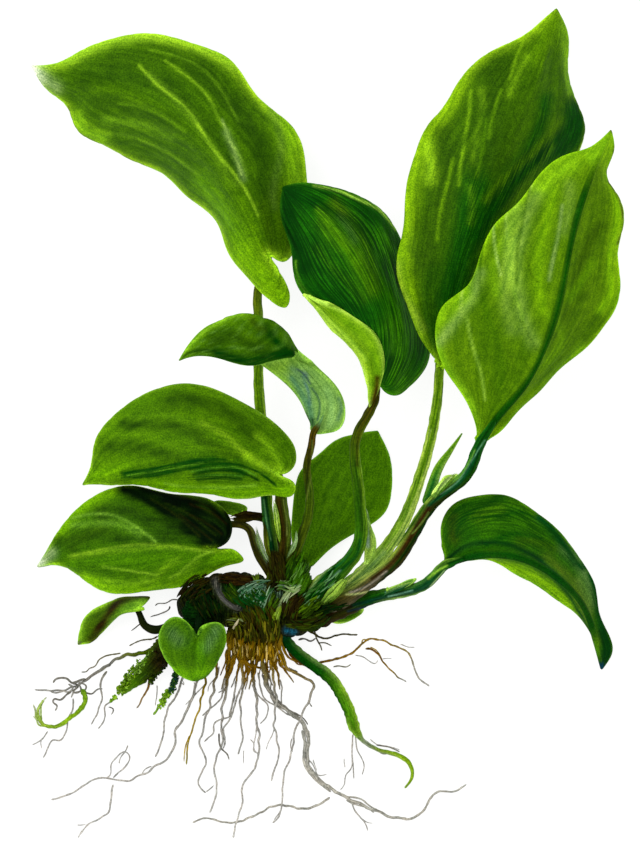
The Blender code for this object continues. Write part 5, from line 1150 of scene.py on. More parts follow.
def tubeShell(curve, radii, sides, paintOf, lump=0.05, lumpSize=5.0, groove=0.0, seed=0, flat=1.0):
    # a ring of the local radius round each point, closed by rounded ends:
    # radius * (1 + lumps - groove on the upper side), and flat times that away from the table
    lengths = lengthsAlong(curve)
    fromEnd = np.minimum(lengths, lengths[-1] - lengths)
    ends = np.clip(fromEnd / np.maximum(radii, 1e-6), 0, 1)
    radii = radii * np.sqrt(np.clip(1 - (1 - ends) ** 2, tubeBuild["tip"], 1))
    curve = curve.copy()
    curve[:, 2] = np.maximum(curve[:, 2], radii * flat)
    right, over = tubeFrames(curve)
    angle = np.linspace(-np.pi, np.pi, sides + 1)
    bumps = lump * ripples(angle[None, :-1] * radii[:, None], lengths[:, None], lumpSize, seed)
    local = radii[:, None] * (1 + bumps - groove * bell(angle[None, :-1], tubeBuild["grooveWidth"]))
    rings = (curve[:, None] + (local * np.sin(angle[:-1]))[..., None] * right[:, None]
             + (flat * local * np.cos(angle[:-1]))[..., None] * over[:, None])
    share = lengths / lengths[-1]
    paint = paintOf(share, np.sin(angle[:-1]), rings)
    return shell(rings, [curve[0], curve[-1]], angle[None] * np.maximum(radii, 0.2)[:, None], lengths, paint)


def bandedTube(look):  # a tube along a look's path, with its radii and colours spread evenly from end to end
    share = np.linspace(0, 1, look["samples"])
    radii = np.interp(share, np.linspace(0, 1, len(look["radii"])), look["radii"])
    return tubeShell(smoothCurve(look["path"], look["samples"]), radii, look["sides"],
                     lambda s, lateral, rings: bandPaint(look["bands"], s, lateral), **look["skin"])


def stalkCurve(leafNode, path, thick, thin):
    # the path, run on under (or over) the leaf's midrib at a small gap
    leaf = leafShapes[leafNode]
    under = alongCurve(smoothCurve(leaf["midrib"]), [0, stalkBuild["reach"] / 2, stalkBuild["reach"]])
    ends = np.array(stalkBuild["ends"]) * thin
    under[:, 2] += leaf["face"] * (stalkBuild["blade"] / 2 + stalkBuild["gap"] + ends)
    whole = smoothCurve([*path, *under], 400)
    share = np.linspace(0, 1, int(lengthsAlong(whole)[-1] / stalkBuild["step"]))
    radii = np.interp(share, [0, stalkBuild["slender"], 1], [thick, thin, ends[-1]])
    return alongCurve(whole, share), radii, share


for number, (node, facts) in enumerate(stalkPaths.items()):
    curve, radii, share = stalkCurve(*facts)
    bands = stalkLooks[node]["bands"]
    radii = radii * np.interp(share, *zip(*stalkLooks[node].get("swell", [(0, 1)])))
    strokes = stalkStrokes.get(node, [])

    def stalkPaint(s, lateral, rings):
        return streaked(bandPaint(bands, s, lateral), strokes, rings[..., :2])

    made = tubeShell(curve, radii, stalkBuild["sides"], stalkPaint, seed=number + stalkBuild["seed"],
                     **stalkBuild["skin"])
    makePiece(pieceName(node), [made], finishes["stalk"], "leaf_stalk", node)
makePiece("rolledLeaf", [bandedTube(spear)], finishes["leaf"], "leaf_blade", "rolled_leaf")
print("stalks made:", sum(pieceCount), "triangles so far")

# Rhizome: the creeping stem, with a ring at each old leaf scar, a lumpy bark and a flat belly.
rhizome = {
    "axis": [(-43.5, -57.6), (-41.5, -56.2), (-37.5, -54.2), (-31, -53), (-24.5, -53.7), (-18, -55.2),
             (-11, -55.8), (-4.5, -55.6), (1.5, -54.8), (4, -54.4)],
    "radii": [2.2, 4.2, 6.2, 7.9, 8.6, 8.7, 8.0, 6.8, 4.8, 2.4], "flat": 1.6,
    "stations": 230, "sides": 170, "ringSpacing": 3.6, "ringHeight": 0.4, "ringTilt": 0.18, "ringSharp": 0.6,
    "ringLevel": 1.2, "lump": 0.55, "lumpSize": 5.0, "bark": 0.22, "barkSize": 1.3, "barkStretch": 0.6,
    "fullRadius": 8, "endLength": 2.0, "mottle": 0.35, "mottleSize": 1.6, "seed": 91, "base": "#232A0E",
    "strokes": [
        ("#1E220A", 4.5, 0.85, (184,596, 198,603, 214,613)),
        ("#10240F", 2.0, 0.8, (204,590, 214,606, 228,623)),
        ("#2E260A", 1.5, 0.9, (214,577, 231,577, 251,580)),
        # the crown's dark green, deepened as painted shade in the hollow, then pale teal arcs that are
        # painted highlights
        ("#0D3A14", 3.0, 0.9, (228,591, 241,600, 258,613)),
        ("#1A5A1C", 0.7, 0.8, (231,596, 244,586, 261,583)),
        ("#4E7E5E", 0.6, 0.85, (239,594, 248,585, 263,582)),
        ("#5E8A6E", 0.6, 0.85, (250,602, 255,593, 266,586)),
        ("#5A8A68", 0.6, 0.85, (260,610, 263,599, 272,588)),
        ("#6E9478", 1.6, 0.8, (267,585, 276,588, 282,594)),
        ("#2A6A1E", 0.8, 0.8, (254,613, 266,606, 274,595)),
        ("#5A5A56", 1.0, 0.9, (215,580, 220,593, 232,605, 248,612)),
        ("#8FA046", 0.7, 0.9, (276,623, 280,609, 285,597, 298,589)),
        ("#6E9A24", 0.8, 0.8, (274,625, 278,613)),
        ("#2A1E08", 3.2, 0.9, (291,606, 304,616, 318,623)),
        ("#3E5E10", 1.4, 0.8, (298,604, 311,610)),
        ("#4E7E1A", 1.2, 0.7, (318,596, 334,603)),
        ("#2E260A", 1.6, 0.8, (298,626, 324,626, 338,616)),
        ("#3E3C0C", 2.0, 0.8, (231,625, 258,628, 278,630)),
        ("#6E7814", 0.6, 0.7, (238,626, 251,631)),
        ("#4A3206", 1.2, 0.8, (254,618, 258,630, 262,636)),
        ("#0E4212", 1.0, 0.8, (268,616, 272,630)),
        ("#1E5A74", 0.95, 1, (286,630, 294,632)),
    ],
    "ink": (14, 0.75, (191,603, 258,606, 324,610)),
}


def rhizomeShell(look):
    # round sections whose radius is the drawn one plus ring, lump and bark heights, where a ring's height is
    # 2 * |sin(pi * run / spacing)|^sharp - level; the flat belly is cut at the table
    outline = [(x, y, r) for (x, y), r in zip(look["axis"], look["radii"])]
    curve = alongCurve(smoothCurve(outline), np.linspace(0, 1, look["stations"]))
    run = lengthsAlong(curve[:, :2])
    radius = curve[:, 2]
    way = np.gradient(curve[:, :2], axis=0)
    way = way / np.linalg.norm(way, axis=1, keepdims=True)
    right = np.stack([way[:, 1], -way[:, 0], way[:, 0] * 0], -1)
    angle = np.linspace(-np.pi, np.pi, look["sides"] + 1)
    around = angle[None, :-1] * radius[:, None]
    phase = run[:, None] / look["ringSpacing"] + look["ringTilt"] * np.sin(2 * angle[None, :-1])
    rings = look["ringHeight"] * (2 * np.abs(np.sin(np.pi * phase)) ** look["ringSharp"] - look["ringLevel"])
    lumps = look["lump"] * ripples(around, run[:, None], look["lumpSize"], look["seed"])
    bark = ripples(around, run[:, None] * look["barkStretch"], look["barkSize"], look["seed"] + 1, 24)
    relief = (rings + lumps + look["bark"] * bark) * np.clip(radius / look["fullRadius"], 0, 1)[:, None]
    ends = np.clip(np.minimum(run, run[-1] - run) / look["endLength"], 0, 1)
    local = (radius[:, None] + relief) * np.sqrt(np.clip(1 - (1 - ends) ** 2, 0.05, 1))[:, None]
    height = np.maximum(radius - look["flat"], 0)[:, None] + local * np.cos(angle[:-1])
    onTable = np.stack([curve[:, 0], curve[:, 1], curve[:, 0] * 0], -1)[:, None]
    points = onTable + (local * np.sin(angle[:-1]))[..., None] * right[:, None]
    points[..., 2] = np.maximum(height, plan["lowest"])
    paint = streaked(np.broadcast_to(seen(look["base"]), points.shape), look["strokes"], points[..., :2])
    mottle = ripples(around, run[:, None], look["mottleSize"], look["seed"] + 2, 20)
    paint = paint * (1 + look["mottle"] * mottle)[..., None]
    inkWidth, inkStrength, inkPath = look["ink"]
    ink = inkStrength * bell(distanceTo(drawn(inkPath), points[..., :2]), inkWidth)
    tips = [np.append(curve[k, :2], max(radius[k] - look["flat"], 0.4)) for k in (0, -1)]
    return shell(points, tips, angle[None] * radius[:, None], run, paint, ink)


rhizomeKnob = {
    "path": inSpace(-37,-52,8.5, -37.6,-57,8, -38.2,-61.6,7.4, -38.6,-65.6,6.6),
    "radii": [5.0, 4.9, 4.0, 2.2], "samples": 60, "sides": 60,
    "skin": {"lump": 0.16, "lumpSize": 2.2, "seed": 96},
    "bands": [(0, "#1E1E08", "#16240C", "#10300F"), (0.6, "#16200A", "#0E2410", "#0C2A10"),
              (1, "#12200A", "#0C200C", "#12240C")],
}
stem = [rhizomeShell(rhizome), bandedTube(rhizomeKnob)]
makePiece("rhizomeStem", stem, finishes["rhizome"], "rhizome_skin", "rhizome")

sideShoot = {
    "path": inSpace(-42,-60,5, -45.6,-64.4,4.6, -48.8,-68.8,4.2, -52.2,-73,3, -56.9,-77.4,2, -61,-81,1),
    "radii": [3.4, 3.4, 3.3, 2.7, 1.8, 0.9], "samples": 110, "sides": 60,
    "skin": {"lump": 0.22, "lumpSize": 1.8, "seed": 95},
    "bands": [(0, "#24300A", "#141C08", "#1E2A0A"), (0.25, "#24260A", "#1E1A08", "#33400E"),
              (0.5, "#241E0A", "#24240A", "#3E5A10"), (0.68, "#33400E", "#2E4A0E", "#5E8A1A"),
              (0.85, "#4E7A14", "#3E6810", "#74A022"), (1, "#6E9E1E", "#5E9016", "#86B030")],
}
shootShare = np.linspace(0, 1, sideShoot["samples"])
shootCurve = alongCurve(smoothCurve(sideShoot["path"]), shootShare)
shootSizes = [(x, y, radius) for (x, y, z), radius in zip(sideShoot["path"], sideShoot["radii"])]
shootRadii = alongCurve(smoothCurve(shootSizes), shootShare)[:, 2]
shoot = tubeShell(shootCurve, shootRadii, sideShoot["sides"],
                  lambda s, lateral, rings: bandPaint(sideShoot["bands"], s, lateral), **sideShoot["skin"])
makePiece("sideShoot", [shoot], finishes["stalk"], "rhizome_skin", "side_shoot")
print("rhizome made:", sum(pieceCount), "triangles so far")

# Roots: path, radius at the start and at the end, and colour. The paths are the solids', two of them traced
# again. A tint is a list of colours by height on the plan (y) or by share of the root's length, as it goes
# from brown by the rhizome to silver grey at its end.
rootTints = {
    "brown": ("y", [(-62, "#5A4C10"), (-66, "#7A6416"), (-72, "#8A7020"), (-76, "#847448"), (-80, "#928E80"),
                    (-86, "#A8A6A0"), (-104, "#B0AEA8"), (-120, "#C0BEB8")]),
    "golden": ("y", [(-62, "#4A400E"), (-68, "#665412"), (-78, "#86721A"), (-86, "#9C841E"),
                     (-90, "#BCA440"), (-93, "#968018"), (-98, "#9C8824"), (-104, "#949244")]),
    "grey": ("y", [(-62, "#3E3A16"), (-70, "#6E6A4A"), (-78, "#9C9A92"), (-100, "#ACAAA4"),
                   (-125, "#BCBAB4")]),
    "thick": ("y", [(-62, "#4A400C"), (-70, "#6E5E14"), (-76, "#7E744A"), (-80, "#9C9A90"),
                    (-100, "#B0AFA6"), (-125, "#ABA99E")]),
    "right": ("share", [(0, "#5A420E"), (0.2, "#7A5210"), (0.45, "#86661C"), (0.62, "#94741E"),
                        (0.8, "#9A8A50"), (0.88, "#A8A496"), (1, "#B4B2AC")]),
    "far": ("share", [(0, "#2E3A0C"), (0.14, "#4E6414"), (0.26, "#6E7438"), (0.36, "#84827A"),
                      (0.7, "#76746E"), (1, "#A8A6A0")]),
    "curled": ("share", [(0, "#6E9A24"), (0.4, "#86B020"), (0.7, "#94B83A"), (1, "#A4BC6A")]),
    "mossy": ("share", [(0, "#1E3A12"), (0.5, "#2A4A1E"), (0.8, "#5E8A24"), (1, "#7DA832")]),
    "stub": ("share", [(0, "#2E2A0A"), (0.3, "#54400C"), (0.55, "#7A5A1C"), (0.8, "#A0804A"),
                       (1, "#8A867A")]),
    "collar": ("y", [(-59, "#2A2A0C"), (-62, "#3E3E0E"), (-64.5, "#6E5C12"), (-67, "#9A7A1A"),
                     (-71, "#8E6C16"), (-75, "#84621A"), (-78.5, "#8A7A4A"), (-81, "#9A968C"),
                     (-85, "#A8A6A0")]),
    "pale": ("share", [(0, "#B4B2AC"), (1, "#C8C6C2")]),
    "dark": ("share", [(0, "#6E6C64"), (1, "#8A8880")]),
    "tip": ("share", [(0, "#94B840"), (0.5, "#A4BC6A"), (1, "#C8D4B0")]),
    "gold": ("share", [(0, "#A08416"), (0.7, "#B09A3A"), (1, "#A8A490")]),
}
rootPaths = {
    "left_long_root": (inSpace(-37,-57,6, -37.4,-69,4, -38.8,-80,1.5, -42,-87.5,0, -45,-94,0, -45.3,-98,0,
        -49,-102,0, -54,-105,0, -58.5,-107,0, -63,-107,0, -68,-106.6,0, -74,-110,0,
        -82,-113,0), 0.8, 0.35, "grey"),
    "left_long_root_fork": (inSpace(-63.4,-108.4,0, -64.2,-113,0, -65,-117,0, -70,-120,0,
        -74,-124.5,0), 0.45, 0.3, "grey"),
    "left_thin_root": (inSpace(-41.8,-61,4, -42.2,-70,3, -43.6,-80,0.5, -47.8,-88,0, -48.4,-93,0,
        -50.8,-100.2,0), 0.7, 0.35, "grey"),
    "golden_root": (inSpace(-34.5,-57,8, -35.4,-69,6, -36,-79,2.5, -37.6,-85,0, -39.4,-91,0, -41,-97,0,
        -41.4,-102.5,0), 0.9, 0.35, "brown"),
    "kinked_root": (inSpace(-31,-57,8, -32,-67,6, -32.6,-76,2.5, -34.2,-84,0, -36.6,-92,0, -37,-98,0,
        -35.6,-102.5,0, -38,-107.5,0, -35.6,-111,0), 0.85, 0.35, "brown"),
    "curved_root": (inSpace(-28,-57,5, -28.6,-68,3, -29.2,-78,1, -30.8,-90,0, -31,-97,0, -33,-102.5,0,
        -32.4,-110,0, -34.5,-117,0), 0.9, 0.35, "brown"),
    "short_root": (inSpace(-25.5,-58,10, -25,-69,8.5, -24.6,-78,4, -25.2,-88,0, -24.6,-94,0,
        -26,-99.5,0), 0.85, 0.35, "brown"),
    "straight_root": (inSpace(-22.5,-58,5, -22,-70,2.4, -20.6,-82,0, -20,-92,0, -19.6,-98,0, -21,-103.5,0,
        -24.2,-108,0, -24.8,-114,1, -26.2,-119,2.1, -27.4,-124.5,0.4), 0.9, 0.35, "brown"),
    "thick_root": (inSpace(-19.5,-58,8, -19,-68,7.4, -17.8,-76,4, -15.4,-82.4,1, -11,-86.4,0, -6.6,-89.8,0,
        -4.9,-95,0, -5.4,-101,0, -3,-106,0, 2,-109.6,0, 8,-113,0, 15,-116.2,0, 22,-118.7,0, 28,-117.6,0,
        31,-114,0, 34,-110.6,0, 38,-110.6,0, 42.6,-108.4,0), 1.1, 0.35, "grey"),
    "thick_root_fork": (inSpace(1.6,-112.2,0, -3,-115,0, -8,-115.4,0, -13,-114.6,0, -20,-117.2,0,
        -30,-119.8,0, -36,-118.6,0, -39.6,-119.9,0), 0.5, 0.35, "grey"),
    "crossing_root": (inSpace(-17,-58,10, -16.2,-70,8.4, -14.8,-80,5.2, -14.6,-86,2.5, -15,-92,0,
        -13.6,-98,0, -15,-104,0, -16,-107.5,0), 0.85, 0.35, "brown"),
    "looping_root": (inSpace(-14,-58,11, -13.4,-66.5,11, -11,-73.4,9, -6.6,-76,6.6, -3.2,-79,4.8, -5,-83.4,4,
        -7,-88.6,3.6, -9.2,-93.4,1.2, -10,-99,0, -12,-105,0, -12.6,-110,0.8, -12.7,-114.6,2.1, -13.8,-118,1,
        -15.6,-120,0), 0.85, 0.35, "brown"),
    "green_root": (inSpace(-14,-61,7, -11.4,-65.2,6.6, -7,-69.8,5.8, -2.6,-73,4.8, 2,-76.8,4, 5.4,-82,3,
        7.8,-87.4,1.8, 9.2,-91.8,1.2, 11.2,-94.8,0.6, 13.6,-96.8,0, 18,-98.6,0, 22.4,-99.8,0, 25.6,-102.4,0,
        26.3,-106,0, 24,-109.6,0), 2.4, 0.5, "green"),
    "right_root": (inSpace(-11,-59,4, -11.4,-66,2.6, -9,-70.8,1, -4,-72.4,0, 1,-71.3,0, 6,-70.2,0,
        9.6,-68.2,0, 12,-65.8,0, 16.4,-65,0, 20,-66.2,0, 24,-68,0, 26.6,-72,0, 28,-76,0,
        31.5,-79,0), 0.8, 0.35, "brown"),
    "right_root_fork": (inSpace(12.2,-67.8,0, 14.8,-68.2,0, 17.4,-71.4,0, 20.4,-74.8,0,
        24.6,-77.8,0), 0.45, 0.3, "brown"),
    "upper_right_root": (inSpace(-6,-58,3, -3.6,-63.2,0.6, 0,-64.4,0, 5,-63.6,0,
        10,-63.5,0), 0.6, 0.35, "grey"),
    "far_left_root": (inSpace(-50,-67.4,3.4, -55,-69,2, -60,-69.8,0.8, -65,-72.6,0, -70,-76,0, -74,-78.6,0,
        -80,-80.2,0, -87,-80,0), 1.0, 0.35, "grey"),
    "far_left_root_fork": (inSpace(-65.2,-74.4,0, -67.2,-78,0, -67,-83,0, -70,-90.5,0), 0.5, 0.3, "grey"),
    "curled_root": (inSpace(-72.6,-79.8,0, -71.9,-84,0, -75,-87.4,0, -80,-90.8,0, -84,-90.6,0, -86,-87,0,
        -84.2,-83,0), 0.8, 0.4, "green"),
    "mossy_root": (inSpace(-44.4,-65,4, -43.9,-72,2.6, -45.2,-78,1.4, -48,-83,0.6,
        -51.4,-87.6,0), 1.5, 0.5, "green"),
    "stub_root": (inSpace(-52.6,-71.6,3, -52.4,-77,1.2, -54,-82,0, -56.4,-85.6,0), 0.9, 0.35, "brown"),
}

rootTintOf = {
    "left_long_root": "grey", "left_long_root_fork": "grey", "left_thin_root": "grey",
    "golden_root": "golden", "thick_root": "thick", "thick_root_fork": "thick",
    "upper_right_root": "grey", "far_left_root": "far", "far_left_root_fork": "grey",
    "right_root": "right", "right_root_fork": "right", "green_root": "runner",
    "curled_root": "curled", "mossy_root": "mossy", "stub_root": "stub",
}
rootSlots = {"grey": "grey_root", "brown": "brown_root", "green": "green_root"}
rootBuild = {
    "step": 0.45, "sides": 14, "wiggle": 0.42, "wiggleLength": 4.6, "lump": 0.3, "smoothLump": 0.1,
    "lumpSize": 1.8, "taper": 2.2, "slim": 0.74, "mottle": 0.22, "mottleLength": 5.0, "mottleSeed": 500,
    "shade": 0.15, "seed": 110, "broad": {"sides": 28, "wiggle": 0.1},
}

# The green root is a runner, painted in bands with its radii set along its length.
# The pale lime left edge in its middle bands is a painted highlight along that side of the runner.
runnerBands = [(0, "#1E4A4E", "#12404A", "#0F3A2A"), (0.07, "#1E5A24", "#0C4018", "#0C3A14"),
               (0.14, "#6E9A4A", "#0E4412", "#0C400F"), (0.28, "#8CB45A", "#1A520F", "#0C3E0C"),
               (0.4, "#9CC83C", "#4E8618", "#124A0C"), (0.5, "#9CC838", "#4E8A18", "#1E560F"),
               (0.57, "#98C43A", "#3E700F", "#8CBE3A"), (0.61, "#8CB63A", "#6E9A24", "#94C048"),
               (0.66, "#A0A89A", "#8A9474", "#A4AC98"), (0.72, "#5E8A1C", "#6E8430", "#94A884"),
               (0.85, "#6E9A1C", "#86AE1E", "#94B830"), (1, "#86A838", "#7DA020", "#8CA850")]
runnerSizes = [(0, 1.2), (0.06, 1.6), (0.3, 1.85), (0.45, 1.75), (0.57, 1.75), (0.64, 0.7), (0.72, 0.6),
               (0.85, 0.75), (1, 0.3)]


def tintPaint(tint, share, rings):
    by, stops = rootTints[tint]
    where = rings[..., 1] if by == "y" else np.broadcast_to(share[:, None], rings.shape[:2])
    marks, codes = zip(*sorted(stops))
    return np.stack([np.interp(where, marks, [seen(code)[ch] for code in codes]) for ch in range(3)], -1)


def rootShell(path, thick, thin, tint, seed, wiggle=None, sides=None):
    # the root's path with a small sideways wander, thinning from its start to its end
    build = rootBuild
    whole = smoothCurve(path, 500) if len(path) > 2 else np.linspace(path[0], path[-1], 60)
    length = lengthsAlong(whole)[-1]
    share = np.linspace(0, 1, max(8, int(length / build["step"])))
    curve = alongCurve(whole, share)
    right = tubeFrames(curve)[0]
    wander = ripples(share * length, 0.0, build["wiggleLength"], seed) * np.sin(np.pi * share) ** 0.5
    curve = curve + right * ((build["wiggle"] if wiggle is None else wiggle) * wander)[:, None]
    fall = (1 - share) ** (1.0 if tint == "thick" or sides else build["taper"])
    radii = (thin + (thick - thin) * fall) * (1.0 if sides else build["slim"])
    mottle = ripples(share * length, 0.0, build["mottleLength"], seed + build["mottleSeed"])
    mottle = 1 + build["mottle"] * mottle
    lump = build["lump"]
    if tint == "runner":
        radii, lump = np.interp(share, *zip(*runnerSizes)), build["smoothLump"]

    def paintOf(s, lateral, rings):
        if tint == "runner":
            return bandPaint(runnerBands, s, lateral)
        # painted shade: each root is darker towards its sides as seen from above, by the shade share
        shade = 1 - build["shade"] * np.abs(lateral)
        return tintPaint(tint, s, rings) * mottle[:, None, None] * shade[None, :, None]

    return tubeShell(curve, radii, sides or build["sides"], paintOf, lump, build["lumpSize"], seed=seed)


for number, (node, (path, thick, thin, colour)) in enumerate(rootPaths.items()):
    tint = rootTintOf.get(node, "brown")
    broad = rootBuild["broad"] if tint in ("runner", "curled") else {}
    root = rootShell(path, thick, thin, tint, number + rootBuild["seed"], **broad)
    makePiece(pieceName(node), [root], finishes["root"], rootSlots[colour], node)

# Hair roots, too thin for solids: (radius, tint, height of the start, points). Each starts on a root or on
# the rhizome and comes down to the table by its height * (1 - share)^fall.
hairBuild = {"fall": 1.5, "thin": 0.75, "wiggle": 0.12, "sides": 6, "seed": 300}
hairRoots = {
    "centreHairRoots": [
        (0.22, "pale", 1, (206,683, 197,693, 185,705)),
        (0.32, "grey", 3, (225,678, 223,690, 221,698, 211,708, 202,716)),
        (0.32, "grey", 3, (236,680, 234,696, 232,706, 229,717, 221,719, 214,724, 213,733, 209,737, 204,742)),
        (0.34, "grey", 4, (243,683, 237,698, 233,712, 228,722, 224,727, 225,742, 223,749)),
        (0.28, "grey", 2, (252,684, 255,690, 261,698, 267,704, 266,717, 260,724)),
        (0.26, "grey", 3.4, (308,700, 312,707)),
        (0.28, "grey", 4, (280,679, 282,688, 281,698, 282,706)),
        (0.26, "grey", 4, (268,672, 271,683, 271,692, 276,700)),
        (0.2, "pale", 0, (275,727, 272,735, 269,741, 266,750)),
        (0.24, "pale", 0, (257,723, 256,733, 255,738, 254,743, 255,751, 259,754)),
        (0.24, "grey", 2, (232,654, 231,666, 227,678, 225,688, 218,693)),
        (0.3, "grey", 3, (240,655, 239,669, 235,679, 231,688)),
        (0.24, "pale", 3, (219,666, 217,676, 209,686, 208,692)),
        (0.3, "grey", 2.4, (258,672, 260,684, 266,700, 275,705, 287,714, 297,717)),
        (0.3, "dark", 3, (262,674, 268,688, 278,700, 290,711, 302,717, 308,725)),
        (0.55, "thick", 0, (302,730, 305,745, 304,761, 310,773, 321,784, 331,792)),
        (0.4, "thick", 0, (308,730, 309,742, 307,760, 313,771, 323,782, 333,790)),
        (0.22, "grey", 0, (309,760, 313,765, 316,772, 317,774, 327,774)),
        (0.32, "dark", 0, (219,733, 219,741, 223,750, 227,754, 229,760)),
        (0.24, "grey", 0, (206,792, 210,789, 214,785)),
        (0.2, "pale", 0, (250,739, 254,745, 253,750, 259,754)),
        (0.18, "pale", 0, (244,750, 243,764)),
        (0.24, "gold", 0, (190,735, 186,745, 184,762)),
        (0.2, "grey", 0, (282,808, 278,814, 274,820)),
        (0.22, "grey", 0, (292,738, 291,748, 293,752)),
        (0.2, "pale", 1, (289,667, 292,671, 296,670)),
        (0.2, "pale", 0, (180,681, 184,685, 183,681)),
        (0.2, "pale", 0, (194,682, 196,688)),
        (0.3, "dark", 0, (235,695, 232,706, 229,716)),
    ],
    "rightHairRoots": [
        (0.3, "grey", 1.6, (314,629, 317,639, 320,645, 322,651)),
        (0.24, "grey", 0.4, (318,643, 325,643, 332,646)),
        (0.34, "dark", 1, (298,640, 305,639, 310,641, 316,638)),
        (0.2, "pale", 0, (400,644, 408,647, 415,647)),
        (0.22, "pale", 0, (355,655, 365,658, 376,663, 378,660)),
        (0.26, "grey", 0.6, (333,667, 341,666, 346,667, 351,664)),
        (0.18, "pale", 0, (382,659, 388,658, 392,659)),
        (0.3, "dark", 0, (376,745, 384,746, 392,748, 400,752)),
        (0.26, "grey", 0.8, (353,734, 352,754, 353,767, 354,779)),
        (0.24, "grey", 0, (352,754, 350,770, 346,775, 344,785, 340,790)),
        (0.24, "grey", 0.8, (356,734, 357,749, 362,759, 364,767, 362,775)),
        (0.2, "pale", 0, (344,758, 344,763, 345,768)),
        (0.28, "grey", 0, (352,803, 354,809, 361,818, 366,825, 368,831)),
        (0.2, "pale", 0, (361,818, 367,822, 373,823)),
        (0.32, "thick", 0, (346,797, 353,797, 361,799, 370,806, 378,810)),
        (0.3, "thick", 0, (346,800, 357,805, 368,808, 374,813)),
        (0.22, "grey", 0, (376,749, 381,753, 390,753)),
        (0.2, "pale", 0, (370,739, 378,745, 392,747, 400,750)),
        (0.24, "gold", 0, (362,645, 363,640, 369,641)),
        (0.22, "gold", 0, (370,647, 377,651, 382,660)),
        (0.2, "pale", 0, (313,759, 315,766, 317,771)),
        (0.24, "grey", 0.8, (290,668, 294,670, 298,672)),
    ],
    "leftHairRoots": [
        (0.28, "grey", 1.2, (121,653, 110,655, 98,661, 95,666, 89,669, 87,671, 81,672)),
        (0.42, "dark", 0, (86,679, 78,681, 72,683, 68,679, 62,678, 56,679, 53,683)),
        (0.36, "dark", 0, (72,691, 65,696, 60,700, 54,699, 53,702, 57,705, 55,711)),
        (0.34, "grey", 0, (77,685, 74,691, 71,698)),
        (0.36, "dark", 0, (72,683, 78,686, 73,692, 81,690, 79,683, 86,686, 84,691)),
        (0.34, "grey", 0, (68,684, 73,688, 68,692, 64,691, 56,693, 50,691)),
        (0.3, "dark", 0, (85,692, 93,693, 98,689, 103,689)),
        (0.3, "grey", 0, (73,698, 72,711, 68,719, 67,729, 64,736, 60,740, 53,740, 48,748, 43,758)),
        (0.24, "grey", 0, (48,731, 43,738, 38,742, 32,745)),
        (0.2, "pale", 0, (42,738, 41,743, 42,749)),
        (0.28, "grey", 0, (117,698, 110,702, 105,706, 105,713, 104,720, 98,729)),
        (0.26, "dark", 0, (108,707, 113,709, 111,715)),
        (0.2, "grey", 1, (157,685, 157,692, 155,706)),
        (0.26, "grey", 0, (113,778, 119,772, 128,763, 129,755, 125,752, 117,757, 111,765, 110,775, 106,778)),
        (0.24, "grey", 0, (128,745, 125,752, 120,759, 119,764)),
        (0.18, "pale", 0, (77,825, 82,825, 86,824)),
        (0.3, "grey", 0.6, (107,666, 98,673, 88,678)),
        (0.3, "dark", 0.6, (111,665, 101,669, 93,674, 85,680)),
        (0.24, "dark", 5, (183,602, 179,600, 172,600, 166,603, 157,604, 155,606)),
        (0.22, "dark", 5.4, (184,601, 181,598, 182,593)),
        (0.26, "dark", 3.4, (170,606, 169,609, 162,613, 150,617)),
        (0.22, "grey", 3, (141,624, 136,627, 131,631)),
        (0.28, "grey", 3, (158,636, 152,639, 143,640, 129,646)),
        (0.22, "grey", 0, (152,766, 145,769, 142,774)),
        (0.34, "tip", 0, (41,722, 36,717, 35,710, 33,704)),
        (0.3, "tip", 0, (42,720, 41,709, 44,700, 47,697)),
        (0.32, "tip", 0, (46,726, 38,724, 36,719, 33,716)),
    ],
}


def fallingPath(points, start, power, radius):  # a path on the drawing that comes down to lie on the table
    fall = np.linspace(1, 0, len(points) // 2) ** power * start
    return np.column_stack([onPlan(points), fall + radius])


for group, rows in hairRoots.items():
    hairs = []
    for number, (radius, tint, start, points) in enumerate(rows):
        path = fallingPath(points, start, hairBuild["fall"], radius)
        hairs.append(rootShell(path, radius, radius * hairBuild["thin"], tint, number + hairBuild["seed"],
                               hairBuild["wiggle"], hairBuild["sides"]))
    makePiece(group, hairs, finishes["root"], "grey_root")

# The collar: short thick young roots under the crown, fanning out into the long ones (radius, points).
collarBuild = {
    "height": 9.5, "fall": 1.3, "thick": 1.3, "thin": 0.25, "wiggle": 0.4, "sides": 12, "seed": 700,
}
collarRoots = [
    (0.72, (233,618, 231,640, 229,655, 226,672, 221,690)),
    (0.7, (238,618, 238,640, 235,658, 229,676, 223,694)),
    (0.7, (244,618, 243,640, 241,656, 238,670, 236,688)),
    (0.75, (249,618, 249,640, 247,656, 245,672, 243,690)),
    (0.65, (254,618, 254,640, 253,655, 252,668, 256,682)),
    (0.72, (258,618, 259,640, 258,655, 254,672, 249,690)),
    (0.6, (263,618, 263,640, 260,655, 255,666, 254,684)),
    (0.7, (267,618, 268,640, 267,655, 268,672, 273,686)),
    (0.78, (271,618, 273,640, 275,655, 277,672, 280,690)),
    (0.7, (275,620, 277,640, 278,656, 284,669, 294,683)),
    (0.55, (279,624, 282,642, 287,654, 295,662, 307,666)),
    (0.6, (236,628, 240,645, 246,660, 248,676, 245,690)),
    (0.6, (246,628, 240,646, 233,660, 228,676, 222,690)),
    (0.55, (256,628, 262,645, 266,660, 264,670, 262,676)),
    (0.6, (266,628, 260,645, 252,660, 248,676, 242,690)),
    (0.5, (272,632, 268,648, 262,662, 259,676)),
    (0.55, (229,630, 228,645, 226,660, 220,676)),
    (0.5, (240,660, 250,664, 262,667, 276,666)),
    (0.6, (274,630, 272,648, 271,662, 268,676)),
    (0.5, (241,632, 244,650, 243,668, 247,682)),
]
collar = []
for number, (radius, points) in enumerate(collarRoots):
    path = fallingPath(points, collarBuild["height"], collarBuild["fall"], radius)
    collar.append(rootShell(path, collarBuild["thick"] * radius, radius * collarBuild["thin"], "collar",
                            number + collarBuild["seed"], collarBuild["wiggle"], collarBuild["sides"]))

